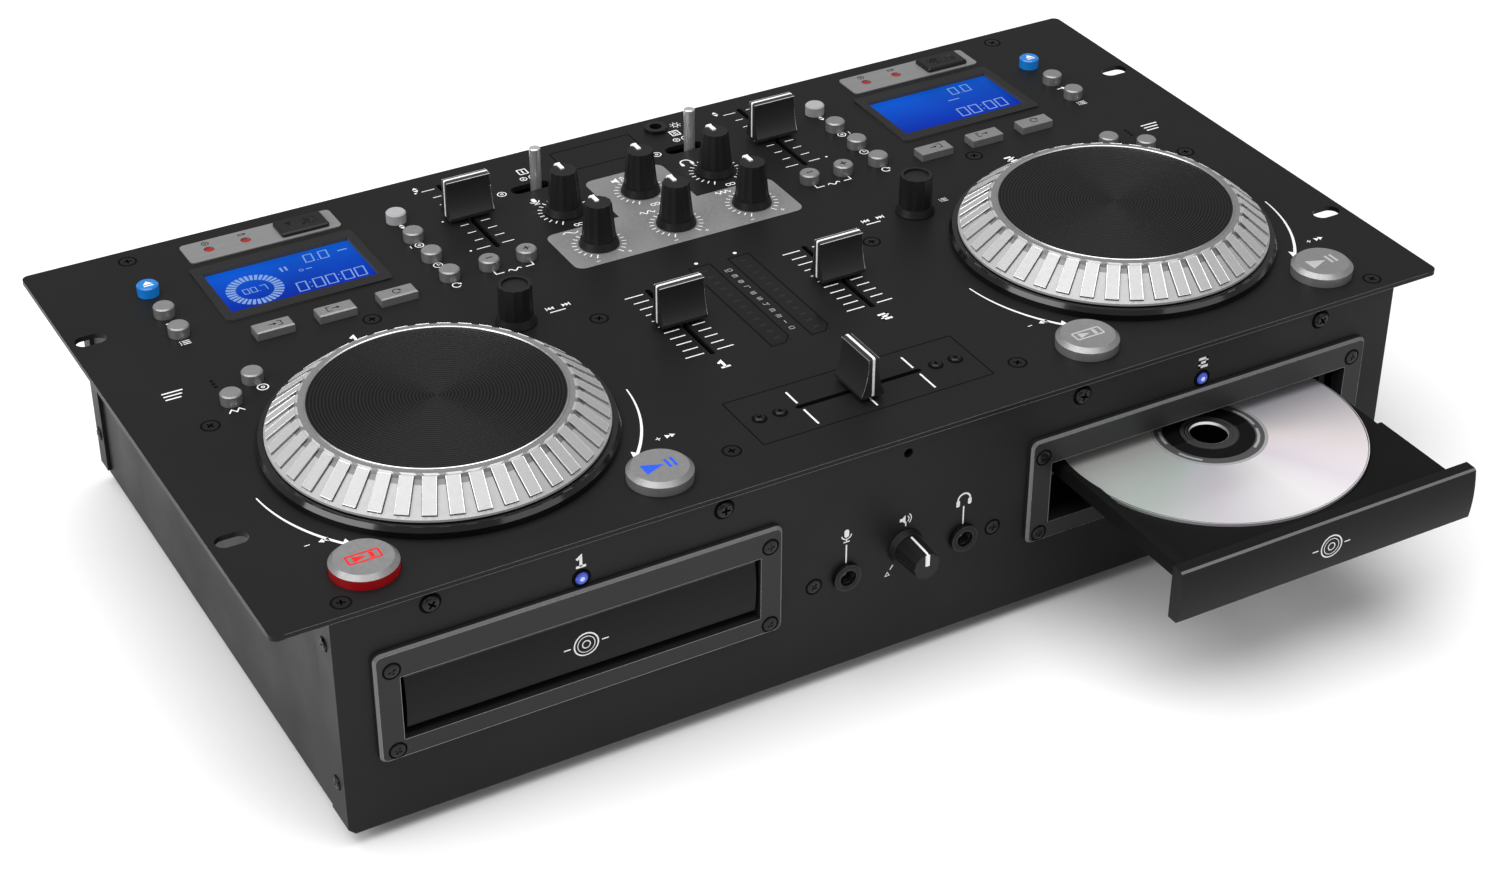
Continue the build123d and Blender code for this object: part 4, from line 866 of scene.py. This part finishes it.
# ------------------------ displays
lcd_material()
for d, (x, y) in LCD.items():
    Sheet(lift=-1.0).rounded(x, y, 61.0, 36.8, 0.6).build(f"lcd_{d}", "lcd")
    s = Sheet(lift=-0.97).at(x, y)
    if d == "a":
        for i in range(32):
            s.poly([(r * math.cos(TAU * i / 32 + w) - 15.5, r * math.sin(TAU * i / 32 + w) - 2.0)
                    for r, w in ((7.4, -0.07), (11.2, -0.062), (11.2, 0.062), (7.4, 0.07))])
        s.digits("00.7", -15.5, -2.0, 4.0, w=2.5, t=0.4, gap=0.6)
        s.digits("0:00:00", 13.4, -8.6, 7.2, w=4.3, t=0.55, gap=0.95, slant=0.12)
        s.digits("0.0", 14.6, 10.6, 6.2, w=3.9, t=0.5, gap=0.9, slant=0.12)
        for px in (-1.2, 0.7):
            s.bar(px, 5.6, px, 8.9, 0.8)
        s.ring(5.5, 3.2, 0.8, 0.3)
        s.bar(7.4, 3.2, 10.0, 3.2, 0.5)
        s.bar(23.5, 10.4, 27.5, 10.4, 0.7)
    else:
        s.digits("0.0", 13.6, 10.4, 6.2, w=3.9, t=0.5, gap=0.9, slant=0.12)
        s.digits("00:00", 13.4, -8.2, 7.4, w=4.6, t=0.6, gap=1.2, slant=0.12)
        s.bar(3.5, 3.4, 9.0, 3.4, 0.6)
    s.build(f"lcd_figures_{d}", "lcd_ink")

# ------------------------ signs on the buttons
for i, (d, side) in enumerate(SIDES):
    s = Sheet(lift=5.03).at(PLAY_X[i], BUTTON_Y)
    s.poly([(-6.4, -3.1), (1.4, 0), (-6.4, 3.1)])
    for x in (3.0, 5.3):
        s.bar(x, -2.7, x, 2.7, 1.1)
    s.build(f"play_sign_{d}", ("blue_glow", "pale")[i], f"play_button_{d}")
    s = Sheet(lift=5.03).at(CUE_X[i], BUTTON_Y)
    s.frame(0, 0, 12.4, 5.4, 0.9, 0.8)
    s.poly([(-3.9, -1.7), (0.9, 0), (-3.9, 1.7)])
    s.rounded(2.9, 0, 1.5, 3.4, 0.3)
    s.build(f"cue_sign_{d}", ("red_sign", "pale")[i], f"cue_button_{d}")
    s = Sheet(lift=4.33).at(side * LIST_X, 95.0)
    s.poly([(-1.9, -0.6), (1.9, -0.6), (0, 1.9)])
    s.bar(-1.9, -1.6, 1.9, -1.6, 0.7)
    s.build(f"eject_sign_{d}", "white", f"eject_button_{d}")
    lo, hi = sorted((side * BEND_OUT, side * BEND_IN))
    for key, lift, draw, x, y, k, more in (
            ("bend_down", 4.33, minus_sign, lo, BEND_Y, 1.2, {}),
            ("bend_up", 4.33, plus_sign, hi, BEND_Y, 1.2, {}),
            ("loop_in", 3.53, bracket_sign, side * LOOP_X - 25, LOOP_Y, 1.0, {"way": 1}),
            ("loop_out", 3.53, bracket_sign, side * LOOP_X, LOOP_Y, 1.0, {"way": -1}),
            ("reloop", 3.53, loop_sign, side * LOOP_X + 25, LOOP_Y, 1.0, {})):
        s = Sheet(lift=lift)
        draw(s, x, y, k, **more)
        s.build(f"{key}_sign_{d}", "hole", f"{key}_button_{d}")

# ------------------------ level meters
lamps = Sheet(lift=0.02)
for x in (-METER_X, METER_X):
    for i in range(METER_LAMPS):
        lamps.rounded(x, METER_TOP - METER_STEP * i, 2.6, 1.5, 0.3)
lamps.build("meter_lamps", "lamp_dim")

# ------------------------ front panel prints
UPRIGHT = {"u": (1, 0, 0), "v": (0, 0, 1)}
front = Sheet((0, FRONT_Y, 0), **UPRIGHT, lift=0.05)
for d, side in SIDES:
    deck_number(front, side * TRAY_X, -9.6, side=side)
for x in (-JACK_X, JACK_X):
    front.bar(x, -39.5, x, -48.5, 0.6)
mic_sign(front, -JACK_X, -35.6, 1.3)
headphone_sign(front, JACK_X, -36.6, 1.4)
speaker_sign(front, -0.4, -36.8, 1.0)
front.at(0, BLEND_Z)
for degrees in (90, 235, 305):
    c, h = math.cos(math.radians(degrees)), math.sin(math.radians(degrees))
    front.bar(8.6 * c, 8.6 * h, 10.6 * c, 10.6 * h, 0.5)
    if degrees != 90:
        x, y = 12.6 * c, 12.6 * h
        front.path([(x - 0.9, y - 0.8), (x + 0.9, y - 0.8), (x, y + 0.8)], 0.3, close=True)
front.build("prints_front", "white")

# ------------------------ screws
SCREWS = {"pan": (3.3, 1.5), "flat": (3.0, 0.06), "small": (2.2, 0.9), "cup": (2.7, 0.35)}


def screw(kind, place, normal, spin=0.0):
    """Screw head with a cross recess: the head's parts, then the parts painted dark as shade, the floor of
    the recess and a ring round the seat.
    """
    radius, height = SCREWS[kind]
    steps, inner, depth = 20, radius * 0.62, radius * 0.35
    n, place = Vector(normal), Vector(place)
    u = n.cross(Vector((0, 0, 1)) if abs(n.z) < 0.9 else Vector((0, 1, 0))).normalized()
    u = Matrix.Rotation(spin, 3, n) @ u
    v = n.cross(u)
    head = lathe([(inner, height), (radius * 0.78, height * 0.88), (radius * 0.93, height * 0.62),
                  (radius, height * 0.25), (radius, -0.3)], place, n, u, steps)
    arm, half = radius * 0.52, radius * 0.13
    corner = [(half, half), (half, arm), (-half, arm)]
    cross = []
    while len(cross) < 12:
        cross += corner
        corner = [(-y, x) for x, y in corner]
    top = Sheet(place + n * height, u, v, lift=0.0).poly(circle(0, 0, inner, steps), [cross])
    # painted shade: the floor of the cross recess in near black
    floor = Sheet(place + n * (height - depth), u, v, lift=0.0)
    floor.poly([(arm, arm), (-arm, arm), (-arm, -arm), (arm, -arm)])
    walls = [place + n * h + u * x + v * y for h in (height, height - depth) for x, y in cross]
    # painted shade: a dark ring round the head where it sits
    seat_shade = Sheet(place, u, v, lift=0.03)
    seat_shade.poly(circle(0, 0, radius + 0.75, 28), [circle(0, 0, radius - 0.1, 28)])
    sides = [(i, 12 + i, 12 + (i + 1) % 12, (i + 1) % 12) for i in range(12)]
    return ([head, (top.verts, top.faces), (walls, sides)],
            [(floor.verts, floor.faces), (seat_shade.verts, seat_shade.faces)])


PAIR = (-1, 1)
places = [("flat", (s * x, y, 0), (0, 0, 1)) for s in PAIR for x, y in
          ((201.2, 122.2), (214.2, -3.8), (214.2, -123.5), (135.2, 36.0), (60.2, -5.0), (60.2, -107.8))]
places += [("small", (s * x, CROSS_Y, 0), (0, 0, 1)) for s in PAIR for x in (33.0, 41.5)]
places += [("pan", (s * x, FRONT_Y, -7.0), (0, -1, 0)) for s in PAIR for x in (185.5, 75.0)]
places += [("cup", (s * x, -131.5, z), (0, -1, 0)) for s in PAIR for x in (201.8, 57.8)
           for z in (-27.5, -61.3)]
places += [("cup", (s * 38.3, FRONT_Y, -53.4), (0, -1, 0)) for s in PAIR]
places += [("small", (s * 221, -122.5, z), (s, 0, 0)) for s in PAIR for z in (-15, -74)]
places += [("small", (s * 221, 124.5, z), (s, 0, 0)) for s in PAIR for z in (-15, -75)]
places += [("cup", (x, REAR_Y, z), (0, 1, 0)) for z in (-8.5, -84.5) for x in (-212, -70, 70, 212)]
places += [("small", (s * 190, y, -98.0), (0, 0, -1)) for s in PAIR for y in (-100, 100)]
heads, shaded_parts = [], []
for i, (kind, place, normal) in enumerate(places):
    bright, shade = screw(kind, place, normal, spin=math.radians(i * 37 % 90))
    heads += bright
    shaded_parts += shade
mesh_object("screw_heads", heads, "screw", smooth=40)
mesh_object("screw_recess_shades", shaded_parts, "hole")


# ------------------------ bright lines on the fader caps
def cap_lines(name, x, y, body, along_x=False):
    """A white line over the cap's crest and down both ends, and bright tubes of painted highlight along the
    rims of its top and down the edges of its ends.
    """
    half, crest, rim, top = 9.5, 17.95, 17.6, 2.1
    foot = 2.2

    def put(p, q, z):
        return (x + q, y - p, z) if along_x else (x + p, y + q, z)

    # the line is a box strip; each row is (length, height, outward length, outward height)
    way = [(-half, foot, -1, 0), (-half, crest - 0.4, -1, 0), (-half + 0.3, crest, -0.6, 0.8),
           (half - 0.3, crest, 0.6, 0.8), (half, crest - 0.4, 1, 0), (half, foot, 1, 0)]
    wide, thick, sunk = 0.475, 0.14, -0.3
    verts = [put(p + np * out, side * wide, z + nz * out) for p, z, np, nz in way
             for side, out in ((-1, sunk), (-1, thick), (1, thick), (1, sunk))]
    mesh_object(name, [(verts, bands(len(way), 4))], "line", body, smooth=30)
    low, mid, high = Vector((4.7, 2.8)), Vector((2.5, 10.2)), Vector((top, rim))
    ctrl = 2 * mid - (low + high) / 2
    # painted highlight: bright tubes along the top rims and down the end edges of the cap
    rim_highlights = []
    for s in PAIR:
        rim_highlights.append(tube([put(p, s * top, rim - 0.05) for p in (-half, half)], 0.17))
        flank = []
        for i in range(9):
            t = i / 8
            p = (1 - t) ** 2 * low + 2 * t * (1 - t) * ctrl + t * t * high
            flank.append(put(-s * half, s * (p.x - 0.05), p.y))
        rim_highlights.append(tube(flank, 0.13))
    mesh_object(f"{name}_rims", rim_highlights, "nickel_and_highlight", body, smooth=50)


for d, side in SIDES:
    cap_lines(f"pitch_lines_{d}", side * PITCH_X, PITCH_REST, f"pitch_fader_{d}")
    cap_lines(f"channel_lines_{d}", side * CHANNEL_X, CHANNEL_REST, f"channel_fader_{d}")
cap_lines("cross_lines", 0, CROSS_Y, "crossfader", along_x=True)


# ------------------------ white pointers of the knobs
def pointer(name, x, y, body):
    """White wedge at the end of the knob's pointer, over the rim and a little down its side."""
    rows = [(4.3, 19.09, 0.8), (5.5, 19.09, 1.0), (6.05, 18.6, 1.05), (6.3, 17.2, 0.85), (6.35, 15.2, 0.4)]
    verts = []
    for i, (r, z, w) in enumerate(rows):
        inner, drop = (0.9, 0.2) if i > 2 else (0.0, 1.0)
        verts += [(x + s * w, y + r, z) for s in (-1, 1)]
        verts += [(x + s * w * 1.25, y + r - inner, z - drop) for s in (1, -1)]
    sides = [(i + k, i + 4 + k, i + 4 + (k + 1) % 4, i + (k + 1) % 4)
             for i in range(0, 4 * len(rows) - 4, 4) for k in range(4)]
    mesh_object(name, [(verts, sides + [(0, 1, 2, 3), (19, 18, 17, 16)])], "white_cap", body, smooth=25)


for key, (x, y) in KNOBS.items():
    pointer(f"{key}_pointer", x, y, f"{key}_knob")
line = [(0, -133.2, BLEND_Z + 6.15), (0, -143.7, BLEND_Z + 5.62), (0, -144.15, BLEND_Z + 5.2)]
mesh_object("blend_line", [tube(line, 0.42, 8)], "white_cap", "blend_knob", smooth=50)

# ------------------------ front jacks, lamps over the trays
FORWARD = {"n": (0, -1, 0), "u": (1, 0, 0)}
for i, x in enumerate((-JACK_X, JACK_X)):
    place = (x, FRONT_Y, JACK_Z)
    turned(f"jack_ring_{i}", [(3.27, -1.0), (3.3, 1.6), (3.7, 2.1), (4.3, 2.25), (4.9, 2.15), (5.5, 1.5),
                              (5.7, 0.8), (5.7, -0.2)], place, "jack", steps=48, **FORWARD)
    for k in range(4):
        h = -1.3 * k
        turned(f"jack_thread_{i}_{k}", [(3.26, h + 0.35), (2.95, h), (3.26, h - 0.35)], place,
               "nickel_and_highlight" if k == 3 else "jack", **FORWARD)
core = Sheet((0, FRONT_Y - 0.93, 0), **UPRIGHT, lift=0.02)
for d, side in SIDES:
    turned(f"lamp_ring_{d}", [(2.3, -0.2), (2.5, 0.5), (3.1, 0.6), (3.5, 0.3), (3.6, -0.1)],
           (side * TRAY_X, FRONT_Y, -16.5), "hole", steps=32, **FORWARD)
    core.disc(side * TRAY_X, -16.5, 0.9, 16)
core.build("lamp_cores", "led_core")

# ------------------------ painted highlights round the edges of the bezels
for d, side in SIDES:
    edge_highlights = []
    for w, h, r, z in ((153.7, 43.7, 2.2, -42.7), (137.5, 26.6, 0.4, -44.4)):
        ring = [(x, -131.46, y) for x, y in rounded(side * TRAY_X, z, w, h, r, 4)]
        edge_highlights.append(tube(ring + ring[:2], 0.12, 5))
    mesh_object(f"bezel_edge_highlights_{d}", edge_highlights, "bezel_edge_highlight", smooth=60)

# ------------------------ painted highlights along the edges of the sheets
lines = [((-218, -128.93, -92.93), (218, -128.93, -92.93))]
for z in (-0.12, -1.88):
    lines.append(((-236.5, -130.42, z), (236.5, -130.42, z)))
    lines += [((x, -126.0, z), (x, 126.0, z)) for x in (-241.2, 241.2)]
mesh_object("panel_edge_highlights", [tube(line, 0.13, 5) for line in lines], "bevel_highlight", smooth=60)

# ------------------------ marks of the rocker switch
tilt = math.radians(12.0)
rocker_up = Vector((0, math.sin(tilt), math.cos(tilt)))
rocker_out = Vector((0, math.cos(tilt), -math.sin(tilt)))
marks = []
for half in PAIR:
    slope = (rocker_up * 8.0 + rocker_out * (1.2 * half)).normalized()
    middle = Vector((188.0, 128.0, -45.0)) + rocker_up * (4.4 * half) + rocker_out * (1.4 + 1.2 * 4.4 / 8)
    mark = Sheet(middle, (-1, 0, 0), slope, lift=0.06)
    if half > 0:
        mark.bar(0, -1.5, 0, 1.5, 0.6)
    else:
        mark.ring(0, 0, 1.5, 0.5)
    marks.append((mark.verts, mark.faces))
mesh_object("rocker_marks", marks, "white", "power_switch")

# ------------------------ disc signs on the doors
for d, side in SIDES:
    crown = -210.3 + (TRAY_OUT if d == "a" else 0.0)
    s = Sheet((side * TRAY_X, crown, -43.4), **UPRIGHT, lift=0.05)
    for r, w, n in ((4.6, 0.55, 48), (3.3, 0.3, 40), (1.5, 0.4, 28)):
        s.ring(0, 0, r, w, n=n)
    s.bar(-8.6, 0, -6.0, 0, 0.5)
    s.bar(6.0, 0, 8.6, 0, 0.5)
    s.verts = [Vector((p.x, p.y + 1.1 * ((p.z + 43.4) / 11.1) ** 2, p.z)) for p in s.verts]
    s.build(f"door_sign_{d}", "white", "tray_left" if d == "a" else "tray_right")

# ------------------------ prints on the rear sheet
rear = Sheet((0, REAR_Y, 0), (-1, 0, 0), (0, 0, 1), lift=0.05)
for n, x in enumerate((160.0, 118.0)):
    rear.frame(x, -40.0, 34.0, 34.0, 1.2, 0.5)
    rear.bar(x, -24.6, x, -26.4, 0.4)
    rear.digits(str(n + 1), x, -19.6, 3.4, t=0.7)
    disc_sign(rear, x - 7.5, -60.2, 0.9)
    arrow_sign(rear, x + 7.5, -60.2, 0.9)
wave_sign(rear, -150.0, -66.5, 1, 7.0, 2.4)
rear.frame(-150.0, -45.0, 38.0, 33.0, 1.4, 0.5)
plug_sign(rear, -130.0, -45.0, 1.1)
rear.build("prints_rear", "white")

# ------------------------ phono collars: red below, white above
PHONO = [(x + dx, 129.5, z) for x in (-160.0, -118.0) for dx in (-7.5, 7.5) for z in (-47.5, -32.5)]
for i, place in enumerate(PHONO):
    for part, steps, profile in (("collar", 40, [(4.2, 1.5), (5.0, 1.4), (5.6, 0.9), (5.7, -0.2)]),
                                 ("core", 32, [(1.75, 8.6), (2.2, 9.05), (3.3, 9.08), (3.5, 9.02)])):
        turned(f"phono_{part}_{i}", profile, place, "plug_white" if i % 2 else "plug_red", steps=steps,
               n=(0, 1, 0), u=(-1, 0, 0))

# ------------------------ hub of the disc
for key, material, rings in (
        ("clear", "hub_clear", ((7.7, 11.0),)), ("dark", "hub_dark", ((11.0, 17.6),)),
        ("grey", "hub_grey", ((17.6, 21.0),)), ("pale", "hub_pale", ((21.0, 22.3),)),
        # the thin bright rings at the hole, at the steps of the clear hub and at the disc's rim are painted
        # highlight
        ("lines", "disc_glint", ((7.6, 8.0), (9.1, 9.4), (11.0, 11.5), (17.5, 17.65), (59.4, 59.75)))):
    s = Sheet(HUB, lift=0.05 if key == "lines" else 0.03)
    for low, high in rings:
        s.poly(circle(0, 0, high, 72), [circle(0, 0, low, 72)])
    s.build(f"disc_{key}", material, "tray_right")
s = Sheet(HUB, lift=0.06)
for a0, a1, r in ((-62, -20, 18.8), (-12, 24, 18.8), (40, 52, 19.6), (60, 66, 18.6), (150, 176, 18.8),
                  (198, 226, 19.4)):
    s.ring(0, 0, r, 1.1, a0, a1)
s.build("disc_arcs", "hub_pale", "tray_right")

# ------------------------ floor, light and camera
FLOOR_Z, FLOOR_HALF = -0.099, 4.0
floor_mesh = bpy.data.meshes.new("floor")
corners = [(x * FLOOR_HALF, y * FLOOR_HALF, FLOOR_Z) for x, y in ((-1, -1), (1, -1), (1, 1), (-1, 1))]
floor_mesh.from_pydata(corners, [], [(0, 1, 2, 3)])
floor = bpy.data.objects.new("floor", floor_mesh)
bpy.context.scene.collection.objects.link(floor)
floor_shade = Shade("floor", (0.86, 0.86, 0.86), 0.6, specular=0.1)
floor_shade.vary_rough(floor_shade.noise(3), 0.03)
floor_mesh.materials.append(floor_shade.mat)

bpy.context.scene.view_settings.view_transform = "Standard"
world = bpy.data.worlds.new("studio")
bpy.context.scene.world = world
world.use_nodes = True
world.node_tree.nodes["Background"].inputs["Color"].default_value = (1, 1, 1, 1)
world.node_tree.nodes["Background"].inputs["Strength"].default_value = 0.34


def area_light(name, place, target, w, h, power):
    data = bpy.data.lights.new(name, "AREA")
    data.shape = "RECTANGLE"
    data.size, data.size_y = w, h
    data.energy = power
    obj = bpy.data.objects.new(name, data)
    obj.location = place
    obj.rotation_euler = (Vector(target) - Vector(place)).to_track_quat("-Z", "Y").to_euler()
    bpy.context.scene.collection.objects.link(obj)


area_light("overhead", (-0.35, 0.0, 2.1), (-0.15, -0.05, 0), 2.8, 2.8, 78)
area_light("left_box", (-1.7, -0.1, 0.75), (0, 0, 0), 1.3, 1.0, 16)
area_light("right_box", (0.9, -1.7, 0.9), (0, 0, 0), 1.4, 1.2, 6)

cam_data = bpy.data.cameras.new("camera")
cam_data.sensor_width = 36
cam_data.lens = 68.50
cam = bpy.data.objects.new("camera", cam_data)
bpy.context.scene.collection.objects.link(cam)
bpy.context.scene.camera = cam
yaw, pitch, roll = (math.radians(a) for a in (29.566, 33.454, 0.266))
look = Vector((math.sin(yaw) * math.cos(pitch), math.cos(yaw) * math.cos(pitch), -math.sin(pitch)))
right = Vector((math.cos(yaw), -math.sin(yaw), 0))
up = right.cross(look)
right2 = right * math.cos(roll) + up * math.sin(roll)
up2 = up * math.cos(roll) - right * math.sin(roll)
basis = Matrix((right2, up2, -look)).transposed().to_4x4()
cam.matrix_world = Matrix.Translation((-0.46538, -0.83491, 0.55691)) @ basis
